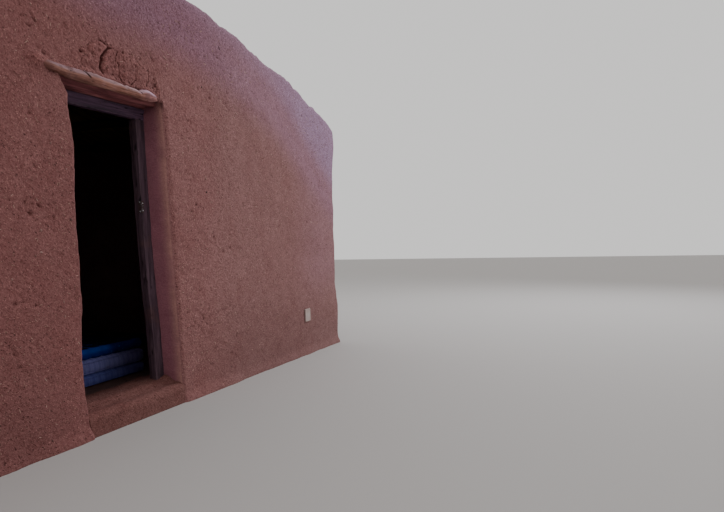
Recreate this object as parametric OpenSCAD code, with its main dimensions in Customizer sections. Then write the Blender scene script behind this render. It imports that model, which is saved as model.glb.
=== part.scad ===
// One-room adobe house: mud-brick walls under one mud coat, an arched gable front with a plain doorway,
// a row of rough lintel logs over the door, a rebated timber frame set back in the reveal, and a
// shallow arched roof of round poles, reeds and mud that spans from front to back.
// Row frame: +Z up, the front faces -Y, X runs along the front, the origin is on the ground at the
// middle of the plan.

/* [House] */
// Width of the front, outside the walls
house_w = 6640; // [5600:20:7200]
// Depth from front to back, outside the walls
house_d = 4200; // [3600:20:5000]
// Thickness of the mud-brick walls
wall_t = 420; // [380:10:460]
// Height of the arched top at the middle of the front
crown_z = 2890; // [2800:10:3100]
// Radius of the roof arch
arch_r = 9350; // [9000:50:12000]
// Radius of the rounded vertical corners
corner_r = 70; // [50:5:180]

/* [Doorway] */
// Width of the opening between the reveals
door_w = 860; // [800:5:960]
// How far the doorway's middle is right of the front's middle
door_x = 40; // [-60:5:60]
// Height of the lintel logs' underside above the ground
door_top = 2076; // [2050:2:2140]
// Height of the mud sill above the ground
sill_h = 160; // [120:5:200]
// Distance from the wall face back to the timber frame
frame_set = 175; // [130:5:190]
// Width of the frame's timbers, seen from the front
frame_face = 85; // [60:1:95]
// Depth of the frame's timbers
frame_depth = 72; // [65:1:95]
// Depth of the rebate that the door shuts into
rebate_d = 36; // [30:1:45]
// Width of the rebate
rebate_w = 14; // [10:1:20]
// How far the reveals widen behind the frame, on each side
splay = 230; // [180:10:260]

/* [Lintel] */
// Length of the lintel logs that carry the wall
log_len = 1560; // [1460:10:1640]
// Where the front log's left end is, measured from the middle of the door
front_log_left = 590; // [560:10:640]
// Where the front log's right end stops, just short of the opening's corner
front_log_right = 350; // [300:5:380]
// Diameter of the lintel logs
log_d = 88; // [84:1:90]
// How far the front log stands out of the wall
log_proud = 32; // [20:1:40]

/* [Roof] */
// Thickness of the roof's mud coat
mud_t = 110; // [90:5:140]
// Thickness of the reed layer under it
reed_t = 26; // [20:1:36]
// Diameter of the roof poles
pole_d = 100; // [80:2:110]
// Spacing of the roof poles
pole_gap = 500; // [480:5:510]
// How far each pole end runs into the wall
pole_in = 260; // [200:10:320]

/* [Floor and wall box] */
// Height of the beaten-earth floor above the ground
floor_h = 80; // [60:5:120]
// Width of the cover plate low on the front
plate_w = 110; // [80:5:140]
// Height of that cover plate
plate_h = 130; // [80:5:150]
// How far the plate stands out of the wall
plate_t = 14; // [8:1:20]

/* [Bedding] */
// Length of the sleeping mats
mat_l = 1880; // [1700:20:2000]
// Width of the sleeping mats
mat_w = 900; // [700:20:1000]
// Thickness of the lower mat
mat_low_t = 90; // [70:2:110]
// Thickness of the middle mat
mat_mid_t = 112; // [90:2:130]
// Thickness of the folded blue quilt on top
quilt_t = 98; // [70:2:110]

/* [Hidden] */
$fn = 96;
arch_fn = 1440;                     // facets of the wide roof arch

hw = house_w / 2;
hd = house_d / 2;
dw = door_w / 2;
gap = 0.5;                          // clearance left between pieces that touch
arch_z = crown_z - arch_r;          // height of the arch's axis
under_mud_r = arch_r - mud_t;       // underside of the mud coat
wall_top_r = under_mud_r - reed_t;  // wall tops and pole tops
pole_r = wall_top_r - gap - pole_d / 2;
reed_in = 200;                      // how far the reeds stop short of the outer faces
n_logs = 5;
log_pitch = (wall_t + log_proud - log_d) / (n_logs - 1);
log_z = door_top + log_d / 2;
front = -hd;
room_w = hw - wall_t;
room_d = hd - wall_t;
frame_y = front + frame_set;
frame_in = dw - frame_face;         // half of the clear width
frame_top = door_top - 2;
frame_low = frame_top - 76;
left_edge = door_x - dw;            // the opening's two sides
right_edge = door_x + dw;
plate_x = 2515;
plate_z = 397;
mat_x = 120;                        // middle of the sleeping mats
mat_y = front + 800 + mat_w / 2;    // their near side is 0.8 m behind the wall face

mud = "#8a625a";
inner_mud = "#7d5a50";
timber = "#4a4041";
pale_log = "#b58a72";
pole_wood = "#8b6a50";

function pole_x(i) = (i - 6.5) * pole_gap;
function pole_z(i) = arch_z + sqrt(pole_r * pole_r - pole_x(i) * pole_x(i));
function log_y(i) = front - log_proud + log_d / 2 + (i - 1) * log_pitch;

// rounded outline of the house in plan
module plan_outline(inset = 0, r = corner_r) {
    w = hw - inset;
    d = hd - inset;
    union() {
        square([2 * (w - r), 2 * d], center = true);
        square([2 * w, 2 * (d - r)], center = true);
        for (sx = [-1, 1], sy = [-1, 1])
            translate([sx * (w - r), sy * (d - r)]) circle(r);
    }
}

// everything under an arch of radius r, over the ground; turn spins the arch's facets about its axis
module under_arch(r, turn = 0) {
    intersection() {
        translate([0, 0, arch_z]) rotate([90, turn, 0]) cylinder(r = r, h = house_d + 400, center = true, $fn = arch_fn);
        translate([-hw - 100, -hd - 150, 0]) cube([house_w + 200, house_d + 300, crown_z + 10]);
    }
}

module pole(i, grow = 0) {
    len = 2 * (room_d + pole_in) + 2 * grow;
    translate([pole_x(i), 0, pole_z(i)]) rotate([90, 0, 0])
        cylinder(d = pole_d + 2 * grow, h = len, center = true);
}

// seat for a pole end in a wall: the pole's own shape, open at the wall's top
module pole_seat(i) {
    pole(i, 1);
    translate([pole_x(i) - pole_d / 2 - 1, -room_d - pole_in - 1, pole_z(i)])
        cube([pole_d + 2, 2 * (room_d + pole_in + 1), pole_d]);
}

// the front log is a facing log that ends at the opening's corner; the others bear on both sides
module log(i, grow = 0) {
    x0 = i == 1 ? -front_log_left : door_x - log_len / 2;
    x1 = i == 1 ? front_log_right : door_x + log_len / 2;
    translate([x0 - grow, log_y(i), log_z]) rotate([0, 90, 0])
        cylinder(d = log_d + 2 * grow, h = x1 - x0 + 2 * grow);
}

module logs(grow = 0) {
    for (i = [1 : n_logs]) log(i, grow);
}

// a piece of the walls' mass between two x values, on the front or back strip
module wall_strip(x0, x1, y0, y1, z0) {
    intersection() {
        linear_extrude(crown_z) plan_outline();
        under_arch(wall_top_r, 0.125);
        translate([x0, y0, z0]) cube([x1 - x0, y1 - y0, crown_z]);
    }
}

// the reveal behind the frame widens towards the room, over the sill and under the logs
module splay_cut(side) {
    y0 = frame_y + frame_depth + 8;
    translate([door_x, 0, sill_h]) linear_extrude(door_top - sill_h)
        polygon([[side * (dw - 4), y0], [side * dw, y0], [side * (dw + splay), front + wall_t], [side * (dw + splay), front + wall_t + 5],
                 [side * (dw - 4), front + wall_t + 5]]);
}

module front_wall_left() {
    color(mud) difference() {
        wall_strip(-hw - 10, left_edge, front - 10, front + wall_t, 0);
        splay_cut(-1);
        for (i = [1 : 6]) pole_seat(i);
        logs(0.6);
    }
}

module front_wall_right() {
    color(mud) difference() {
        wall_strip(right_edge, hw + 10, front - 10, front + wall_t, 0);
        splay_cut(1);
        for (i = [7 : 12]) pole_seat(i);
        logs(0.6);
    }
}

module front_wall_over_door() {
    color(mud) difference() {
        wall_strip(left_edge + gap, right_edge - gap, front - 10, front + wall_t, log_z + 16);
        for (i = [6 : 7]) pole_seat(i);
        logs(0.6);
    }
}

module left_wall() {
    color(mud) wall_strip(-hw - 10, -room_w, front + wall_t + gap, -front - wall_t - gap, 0);
}

module right_wall() {
    color(mud) wall_strip(room_w, hw + 10, front + wall_t + gap, -front - wall_t - gap, 0);
}

module back_wall_left() {
    color(mud) difference() {
        wall_strip(-hw - 10, -gap / 2, -front - wall_t, -front + 10, 0);
        for (i = [1 : 6]) pole_seat(i);
    }
}

module back_wall_right() {
    color(mud) difference() {
        wall_strip(gap / 2, hw + 10, -front - wall_t, -front + 10, 0);
        for (i = [7 : 12]) pole_seat(i);
    }
}

// reeds laid across the poles, stopping short of the outer faces
module reed_band(grow = 0) {
    intersection() {
        difference() {
            under_arch(under_mud_r - gap + grow);
            translate([0, 0, arch_z]) rotate([90, 0, 0])
                cylinder(r = wall_top_r + gap / 2 - grow, h = house_d + 500, center = true, $fn = arch_fn);
        }
        translate([-hw + reed_in - grow, -hd + reed_in - grow, 0])
            cube([house_w - 2 * (reed_in - grow), house_d - 2 * (reed_in - grow), crown_z]);
    }
}

module reed_layer() {
    color("#9a7d55") reed_band();
}

module roof_mud() {
    color(mud) difference() {
        intersection() {
            linear_extrude(crown_z + 10) plan_outline();
            difference() {
                under_arch(arch_r);
                translate([0, 0, arch_z]) rotate([90, 0, 0])
                    cylinder(r = wall_top_r + gap, h = house_d + 500, center = true, $fn = arch_fn);
            }
        }
        intersection() {
            under_arch(under_mud_r);
            translate([-hw + reed_in - 1, -hd + reed_in - 1, 0])
                cube([house_w - 2 * (reed_in - 1), house_d - 2 * (reed_in - 1), crown_z]);
        }
    }
}

// packed-mud sill that fills the bottom of the doorway, flush with the wall face
module door_sill() {
    color(mud) translate([left_edge + gap, front, 0])
        cube([door_w - 2 * gap, wall_t - gap, sill_h]);
}

module frame_head() {
    color(timber) translate([door_x, 0, 0]) difference() {
        translate([-dw + gap, frame_y, frame_low]) cube([door_w - 2 * gap, frame_depth, frame_top - frame_low]);
        translate([-frame_in - rebate_w, frame_y + frame_depth - rebate_d, frame_low - 1])
            cube([2 * (frame_in + rebate_w), rebate_d + 1, rebate_w + 1]);
    }
}

// one upright of the frame, with the rebate on its inner back corner
module jamb() {
    difference() {
        translate([frame_in, frame_y, sill_h]) cube([frame_face - gap, frame_depth, frame_low - sill_h]);
        translate([frame_in - 1, frame_y + frame_depth - rebate_d, sill_h - 1])
            cube([rebate_w + 1, rebate_d + 1, frame_low - sill_h + 2]);
    }
}

module frame_left_jamb() {
    color(timber) translate([door_x, 0, 0]) mirror([1, 0, 0]) jamb();
}

module frame_right_jamb() {
    color(timber) translate([door_x, 0, 0]) jamb();
}

// folded steel keep on the right jamb's front arris
module latch_keep() {
    color("silver") translate([door_x + frame_in, frame_y, 1365]) union() {
        translate([-2.5, -2.5, 0]) cube([24, 2, 82]);
        translate([-2.5, -2.5, 0]) cube([2, 28, 82]);
    }
}

module earth_floor() {
    color(inner_mud) translate([-room_w + gap, -room_d + gap, 0])
        cube([2 * (room_w - gap), 2 * (room_d - gap), floor_h]);
}

// blank cover of a small box let into the wall near the right corner
module wall_box_cover() {
    r = 8;
    color("#a9aca0") translate([plate_x, front, plate_z]) rotate([90, 0, 0]) linear_extrude(plate_t) union() {
        square([plate_w - 2 * r, plate_h], center = true);
        square([plate_w, plate_h - 2 * r], center = true);
        for (sx = [-1, 1], sy = [-1, 1])
            translate([sx * (plate_w / 2 - r), sy * (plate_h / 2 - r)]) circle(r);
    }
}

// plain solid for a sleeping mat, with rounded plan corners
module mat(l, w, t, z, r = 90) {
    translate([mat_x, mat_y, z]) linear_extrude(t) union() {
        square([l - 2 * r, w], center = true);
        square([l, w - 2 * r], center = true);
        for (sx = [-1, 1], sy = [-1, 1])
            translate([sx * (l / 2 - r), sy * (w / 2 - r)]) circle(r);
    }
}

module lower_mat() {
    color("#7f7fa6") mat(mat_l, mat_w, mat_low_t - gap, floor_h + gap);
}

module middle_mat() {
    color("#9a9ab8") mat(mat_l, mat_w, mat_mid_t - gap, floor_h + mat_low_t + gap);
}

module blue_quilt() {
    color("#1f4fa0") mat(mat_l - 20, mat_w - 10, quilt_t - gap, floor_h + mat_low_t + mat_mid_t + gap);
}

front_wall_left();
front_wall_right();
front_wall_over_door();
left_wall();
right_wall();
back_wall_left();
back_wall_right();
roof_mud();
reed_layer();
color(pole_wood) pole(1);  // roof_pole_01
color(pole_wood) pole(2);  // roof_pole_02
color(pole_wood) pole(3);  // roof_pole_03
color(pole_wood) pole(4);  // roof_pole_04
color(pole_wood) pole(5);  // roof_pole_05
color(pole_wood) pole(6);  // roof_pole_06
color(pole_wood) pole(7);  // roof_pole_07
color(pole_wood) pole(8);  // roof_pole_08
color(pole_wood) pole(9);  // roof_pole_09
color(pole_wood) pole(10);  // roof_pole_10
color(pole_wood) pole(11);  // roof_pole_11
color(pole_wood) pole(12);  // roof_pole_12
color(pale_log) log(1);  // lintel_log_1
color(pole_wood) log(2);  // lintel_log_2
color(pole_wood) log(3);  // lintel_log_3
color(pole_wood) log(4);  // lintel_log_4
color(pole_wood) log(5);  // lintel_log_5
door_sill();
frame_head();
frame_left_jamb();
frame_right_jamb();
latch_keep();
earth_floor();
wall_box_cover();
lower_mat();
middle_mat();
blue_quilt();
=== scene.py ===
import bpy, math
import numpy as np
from mathutils import Matrix, Vector, geometry


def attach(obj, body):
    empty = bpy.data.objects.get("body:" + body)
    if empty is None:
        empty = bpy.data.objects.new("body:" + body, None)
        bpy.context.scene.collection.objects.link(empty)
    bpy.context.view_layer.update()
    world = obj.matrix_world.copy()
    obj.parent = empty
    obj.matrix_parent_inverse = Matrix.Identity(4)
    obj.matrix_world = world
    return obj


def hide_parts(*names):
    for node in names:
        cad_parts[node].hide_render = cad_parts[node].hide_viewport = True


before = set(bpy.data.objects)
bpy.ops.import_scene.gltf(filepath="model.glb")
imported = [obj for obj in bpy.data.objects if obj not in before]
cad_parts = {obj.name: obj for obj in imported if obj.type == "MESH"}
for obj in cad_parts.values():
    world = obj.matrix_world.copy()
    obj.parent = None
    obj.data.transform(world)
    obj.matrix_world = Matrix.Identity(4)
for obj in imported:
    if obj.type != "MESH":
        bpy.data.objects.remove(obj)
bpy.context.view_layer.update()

# ---------------------------------------------------------------- sizes shared with the frame (metres)
HW, HD, WT = 3.32, 2.10, 0.42            # half width, half depth, wall thickness
ARCH_Z = -6.46                           # height of the roof arch's axis
R_TOP, R_SEAM = 9.35, 9.214              # top of the roof mud, top of the walls
R_CORNER = 0.07
LEFT_E, RIGHT_E = -0.39, 0.47            # sides of the door opening
SPLAY, SPLAY_Y = 0.23, -1.845             # the reveals widen this much behind the frame
OVER_Z = 2.136                           # underside of the wall over the door, on the lintel's logs
FLOOR_Z = 0.08
IN_Y = -HD + WT                          # the front wall's room face


def arch(x, r):
    return ARCH_Z + np.sqrt(r * r - np.asarray(x, float) ** 2)


def smooth(a, b, x):
    t = np.clip((np.asarray(x, float) - a) / (b - a), 0, 1)
    return t * t * (3 - 2 * t)


# ---------------------------------------------------------------- noise
_rng = np.random.default_rng(11)
_GRAD = _rng.normal(size=(256, 3))
_GRAD /= np.linalg.norm(_GRAD, axis=1)[:, None]


def perlin(p, seed=0):
    """Gradient noise, about -1 to 1, of points in cell units."""
    p = np.asarray(p, float)
    i = np.floor(p).astype(np.int64)
    f = p - i
    w = f * f * f * (f * (f * 6 - 15) + 10)
    out = np.zeros(len(p))
    for dx in (0, 1):
        for dy in (0, 1):
            for dz in (0, 1):
                h = (i[:, 0] + dx) * 73856093 ^ (i[:, 1] + dy) * 19349663 ^ (i[:, 2] + dz) * 83492791 ^ (seed * 40503 + 977)
                h = ((h ^ (h >> 15)) * 2246822) & 0xFFFFFFFF
                h = (h ^ (h >> 13)) & 0xFF
                g = _GRAD[h]
                d = g[:, 0] * (f[:, 0] - dx) + g[:, 1] * (f[:, 1] - dy) + g[:, 2] * (f[:, 2] - dz)
                wx = w[:, 0] if dx else 1 - w[:, 0]
                wy = w[:, 1] if dy else 1 - w[:, 1]
                wz = w[:, 2] if dz else 1 - w[:, 2]
                out += wx * wy * wz * d
    return out * 1.7


def fbm(p, scale, octaves=3, seed=0, gain=0.5):
    out, a = 0, 1.0
    for k in range(octaves):
        out = out + a * perlin(p * scale * 2.03 ** k + 3.7 * k, seed + k)
        a *= gain
    return out


# ---------------------------------------------------------------- mesh helpers
def mesh_object(name, verts, tris=None, quads=None, body="root", smooth_faces=True, loose=None):
    verts = np.asarray(verts, float)
    faces = []
    counts = []
    loops = []
    for arr, n in ((quads, 4), (tris, 3)):
        if arr is not None and len(arr):
            a = np.asarray(arr, np.int64)
            loops.append(a.ravel())
            counts.append(np.full(len(a), n))
    for f in loose or ():
        loops.append(np.asarray(f))
        counts.append(np.array([len(f)]))
    loops = np.concatenate(loops)
    counts = np.concatenate(counts)
    me = bpy.data.meshes.new(name)
    me.vertices.add(len(verts))
    me.vertices.foreach_set("co", verts.astype(np.float32).ravel())
    me.loops.add(len(loops))
    me.loops.foreach_set("vertex_index", loops.astype(np.int32))
    me.polygons.add(len(counts))
    starts = np.concatenate([[0], np.cumsum(counts)[:-1]])
    me.polygons.foreach_set("loop_start", starts.astype(np.int32))
    me.polygons.foreach_set("loop_total", counts.astype(np.int32))
    if smooth_faces:
        me.polygons.foreach_set("use_smooth", np.ones(len(counts), bool))
    me.update(calc_edges=True)
    me.validate()
    ob = bpy.data.objects.new(name, me)
    bpy.context.scene.collection.objects.link(ob)
    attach(ob, body)
    return ob


def thin(ob, ratio):
    """Fewer triangles on a piece that lies in the dark or shows little."""
    m = ob.modifiers.new("thin", "DECIMATE")
    m.ratio = ratio
    new = bpy.data.meshes.new_from_object(ob.evaluated_get(bpy.context.evaluated_depsgraph_get()))
    ob.modifiers.clear()
    old = ob.data
    ob.data = new
    bpy.data.meshes.remove(old)


def set_attr(ob, name, values):
    a = ob.data.attributes.new(name, "FLOAT", "POINT")
    a.data.foreach_set("value", np.asarray(values, np.float32))


class Build:
    """Collects vertices and faces of one piece."""

    def __init__(self):
        self.v, self.t, self.q, self.n = [], [], [], 0

    def add(self, pts):
        pts = np.asarray(pts, float).reshape(-1, 3)
        i = np.arange(self.n, self.n + len(pts))
        self.v.append(pts)
        self.n += len(pts)
        return i

    def grid(self, idx, wrap=False):
        """idx is (m, n) vertex numbers; faces between neighbouring rows."""
        idx = np.asarray(idx)
        nxt = np.roll(idx, -1, axis=1) if wrap else idx[:, 1:]
        cur = idx if wrap else idx[:, :-1]
        q = np.stack([cur[:-1], nxt[:-1], nxt[1:], cur[1:]], axis=-1).reshape(-1, 4)
        self.q.append(q)

    def fan(self, ring, centre, flip=False):
        c = self.add([centre])[0]
        ring = list(ring)
        for a, b in zip(ring, ring[1:] + ring[:1]):
            self.t.append([(b, a, c) if flip else (a, b, c)])

    def arrays(self):
        v = np.concatenate(self.v)
        t = np.concatenate([np.asarray(x).reshape(-1, 3) for x in self.t]) if self.t else None
        q = np.concatenate([np.asarray(x).reshape(-1, 4) for x in self.q]) if self.q else None
        return v, t, q

    def loft(self, rings, cap=True, bulge=0.0):
        """rings is (m, n, 3); each closed round. Counter-clockwise round the direction of travel."""
        rings = np.asarray(rings, float)
        m, n, _ = rings.shape
        idx = self.add(rings.reshape(-1, 3)).reshape(m, n)
        self.grid(idx, wrap=True)
        if cap:
            d0 = rings[0].mean(0) - rings[1].mean(0)
            d1 = rings[-1].mean(0) - rings[-2].mean(0)
            d0 = d0 / max(np.linalg.norm(d0), 1e-9)
            d1 = d1 / max(np.linalg.norm(d1), 1e-9)
            self.fan(idx[0], rings[0].mean(0) + d0 * bulge, flip=True)
            self.fan(idx[-1], rings[-1].mean(0) + d1 * bulge)
        return idx


def cap_faces(points, flip=False):
    """Triangles of one plan polygon, as numbers into points."""
    tri = geometry.tessellate_polygon([[Vector((p[0], p[1], 0)) for p in points]])
    out = []
    for a, b, c in tri:
        pa, pb, pc = points[a], points[b], points[c]
        area = (pb[0] - pa[0]) * (pc[1] - pa[1]) - (pb[1] - pa[1]) * (pc[0] - pa[0])
        up = area > 0
        out.append((a, b, c) if up != flip else (a, c, b))
    return np.array(out)


# ---------------------------------------------------------------- relief of the mud coat
class Map:
    """A relief laid out on the plane of the front, in x and z."""

    def __init__(self, x0, x1, z0, z1, step):
        self.x0, self.z0, self.s = x0, z0, step
        self.nx, self.nz = int((x1 - x0) / step) + 1, int((z1 - z0) / step) + 1
        self.h = np.zeros((self.nz, self.nx))
        self.gx, self.gz = np.meshgrid(x0 + step * np.arange(self.nx), z0 + step * np.arange(self.nz))

    def window(self, x, z, r):
        i0, i1 = int((x - r - self.x0) / self.s), int((x + r - self.x0) / self.s) + 2
        j0, j1 = int((z - r - self.z0) / self.s), int((z + r - self.z0) / self.s) + 2
        i0, j0, i1, j1 = max(i0, 0), max(j0, 0), min(i1, self.nx), min(j1, self.nz)
        if i0 >= i1 or j0 >= j1:
            return None
        return np.s_[j0:j1, i0:i1]

    def stroke(self, x, z, angle, length, width, height):
        w = self.window(x, z, length / 2 + 2 * width)
        if w is None:
            return
        c, s = math.cos(angle), math.sin(angle)
        dx, dz = self.gx[w] - x, self.gz[w] - z
        u, v = dx * c + dz * s, -dx * s + dz * c
        self.h[w] += height * np.exp(-(v / width) ** 2 - (u / (length / 2)) ** 4)

    def crack(self, pts, width, depth, ends=0.4):
        """A V-shaped crack along a polyline, shallower at its ends."""
        best = np.full(self.h.shape, 1e9)
        along = np.zeros(self.h.shape)
        pts = np.asarray(pts, float)
        seg = np.linalg.norm(np.diff(pts, axis=0), axis=1)
        total, run = seg.sum(), 0.0
        for a, b, ln in zip(pts[:-1], pts[1:], seg):
            t = np.clip(((self.gx - a[0]) * (b[0] - a[0]) + (self.gz - a[1]) * (b[1] - a[1])) / ln ** 2, 0, 1)
            d = np.hypot(self.gx - a[0] - t * (b[0] - a[0]), self.gz - a[1] - t * (b[1] - a[1]))
            near = d < best
            best = np.where(near, d, best)
            along = np.where(near, (run + t * ln) / total, along)
            run += ln
        taper = ends + (1 - ends) * np.sin(np.pi * np.clip(along, 0, 1)) ** 0.5
        self.h -= depth * taper * np.exp(-np.abs(best / (width * (0.6 + 0.4 * taper))) ** 1.6)

    def pillow(self, x, z, rx, rz, angle, height, power=2.4):
        c, s = math.cos(angle), math.sin(angle)
        dx, dz = self.gx - x, self.gz - z
        u, v = (dx * c + dz * s) / rx, (-dx * s + dz * c) / rz
        d = np.abs(u) ** power + np.abs(v) ** power
        self.h += height * np.clip(1 - d, 0, 1) ** 0.6

    def blur(self, sigma, h=None):
        h = self.h if h is None else h
        k = max(1, int(round(sigma / self.s * 3)))
        g = np.exp(-0.5 * (np.arange(-k, k + 1) * self.s / sigma) ** 2)
        g /= g.sum()
        p = np.pad(h, k, mode="edge")
        n0, n1 = p.shape
        f0, f1 = np.fft.rfft(p, axis=0), np.fft.rfft(np.concatenate([g, np.zeros(n0 - len(g))]))
        p = np.fft.irfft(f0 * f1[:, None], n0, axis=0)[2 * k:]
        f0, f1 = np.fft.rfft(p, axis=1), np.fft.rfft(np.concatenate([g, np.zeros(n1 - len(g))]))
        return np.fft.irfft(f0 * f1[None, :], n1, axis=1)[:, 2 * k:]

    def sample(self, x, z, h=None):
        h = self.h if h is None else h
        u = (np.asarray(x) - self.x0) / self.s
        v = (np.asarray(z) - self.z0) / self.s
        inside = (u >= 0) & (v >= 0) & (u <= self.nx - 1.001) & (v <= self.nz - 1.001)
        u, v = np.clip(u, 0, self.nx - 1.001), np.clip(v, 0, self.nz - 1.001)
        i, j = u.astype(int), v.astype(int)
        a, b = u - i, v - j
        out = (h[j, i] * (1 - a) * (1 - b) + h[j, i + 1] * a * (1 - b) + h[j + 1, i] * (1 - a) * b + h[j + 1, i + 1] * a * b)
        return np.where(inside, out, 0.0)


def make_front_map():
    m = Map(-3.4, 3.4, -0.02, 2.95, 0.004)
    rng = np.random.default_rng(5)
    slope = math.radians(-38)
    # hand-smeared strokes, most of them running down to the right
    for _ in range(7500):
        x, z = rng.uniform(-3.35, 3.35), rng.uniform(0, 2.9)
        sign = -1 if rng.random() < 0.62 else 0.8
        m.stroke(x, z, slope + rng.normal(0, 0.28), rng.uniform(0.02, 0.085), rng.uniform(0.0045, 0.010),
                 sign * rng.uniform(0.0006, 0.0021))
    # pits, thicker in a band beside and below the middle of the door's right side
    for _ in range(3600):
        x, z = rng.uniform(-3.35, 3.35), rng.uniform(0, 2.9)
        keep = 0.45 + 0.55 * math.exp(-((x - 0.85) / 0.45) ** 2) + 0.25 * math.exp(-((x + 0.7) / 0.4) ** 2)
        if rng.random() > keep:
            continue
        r = rng.uniform(0.0035, 0.0085) if rng.random() < 0.9 else rng.uniform(0.008, 0.013)
        m.stroke(x, z, rng.uniform(-1.2, 0.2), r * rng.uniform(2.0, 3.6), r, -rng.uniform(0.25, 0.6) * r)
    # small clods left standing
    for _ in range(900):
        x, z = rng.uniform(-3.35, 3.35), rng.uniform(0, 2.9)
        r = rng.uniform(0.005, 0.012)
        m.stroke(x, z, rng.uniform(-1.5, 1.5), r * 2.4, r, rng.uniform(0.2, 0.4) * r)
    # torn, rougher places
    for x, z, r, k in ((-0.734, 1.342, 0.05, 16), (-0.554, 1.331, 0.055, 18), (-0.585, 1.27, 0.04, 14),
                       (1.403, 1.833, 0.06, 18), (1.476, 1.775, 0.045, 12), (0.728, 0.574, 0.10, 26),
                       (0.62, 0.43, 0.07, 16), (0.92, 0.55, 0.09, 20), (0.63, 2.05, 0.07, 18),
                       (0.72, 1.98, 0.06, 16), (-0.81, 0.876, 0.05, 10), (-0.70, 0.60, 0.06, 12),
                       (-0.614, 2.37, 0.07, 20), (-0.456, 2.40, 0.06, 16), (-0.66, 1.39, 0.03, 8),
                       (-1.9, 1.1, 0.10, 22), (-2.5, 1.9, 0.08, 16), (2.4, 1.3, 0.06, 10), (1.9, 0.7, 0.07, 12)):
        for _ in range(k):
            a, d = rng.uniform(0, 2 * math.pi), r * math.sqrt(rng.random())
            m.stroke(x + d * math.cos(a), z + d * math.sin(a), slope + rng.normal(0, 0.5),
                     rng.uniform(0.014, 0.05), rng.uniform(0.004, 0.008), -rng.uniform(0.0015, 0.0048))
    for x, z, r in ((0.968, 1.185, 0.012), (0.696, 1.377, 0.009), (2.038, 1.936, 0.006), (-0.269, 2.262, 0.009),
                    (-0.538, 2.183, 0.009), (1.002, 2.237, 0.010)):
        m.stroke(x, z, -0.6, r * 3, r, -0.007)
    # thin scratches as of a stick drawn through the wet coat
    for _ in range(160):
        x, z = rng.uniform(-3.3, 3.3), rng.uniform(0.05, 2.8)
        m.stroke(x, z, rng.uniform(-2.2, 0.4), rng.uniform(0.05, 0.13), 0.0042, -rng.uniform(0.001, 0.0022))
    # smoothed over
    for x, z, r in ((2.102, 2.488, 0.045),):
        m.h *= 1 - 0.85 * np.exp(-(((m.gx - x) ** 2 + (m.gz - z) ** 2) / r ** 2) ** 2)
    return m


PATCH_LINE = [(-0.42, 2.21), (-0.326, 2.235), (-0.295, 2.26), (-0.239, 2.296), (-0.133, 2.355), (-0.085, 2.362), (-0.027, 2.365),
              (0.049, 2.355), (0.154, 2.343), (0.226, 2.323), (0.309, 2.286), (0.363, 2.234), (0.405, 2.163),
              (0.40, 2.08), (-0.45, 2.08)]


def log_top(x):
    """Where the mud over the facing log begins."""
    return np.interp(x, [-0.60, -0.54, -0.48, -0.41, -0.34, -0.24, -0.17, -0.11, -0.03, 0.04, 0.063, 0.086, 0.11, 0.148,
                         0.19, 0.224, 0.253, 0.282, 0.311, 0.339, 0.352, 0.40],
                     [2.150, 2.151, 2.147, 2.146, 2.149, 2.158, 2.160, 2.149, 2.148, 2.140, 2.133, 2.142, 2.133, 2.134,
                      2.125, 2.146, 2.154, 2.151, 2.141, 2.127, 2.110, 2.100])


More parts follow.
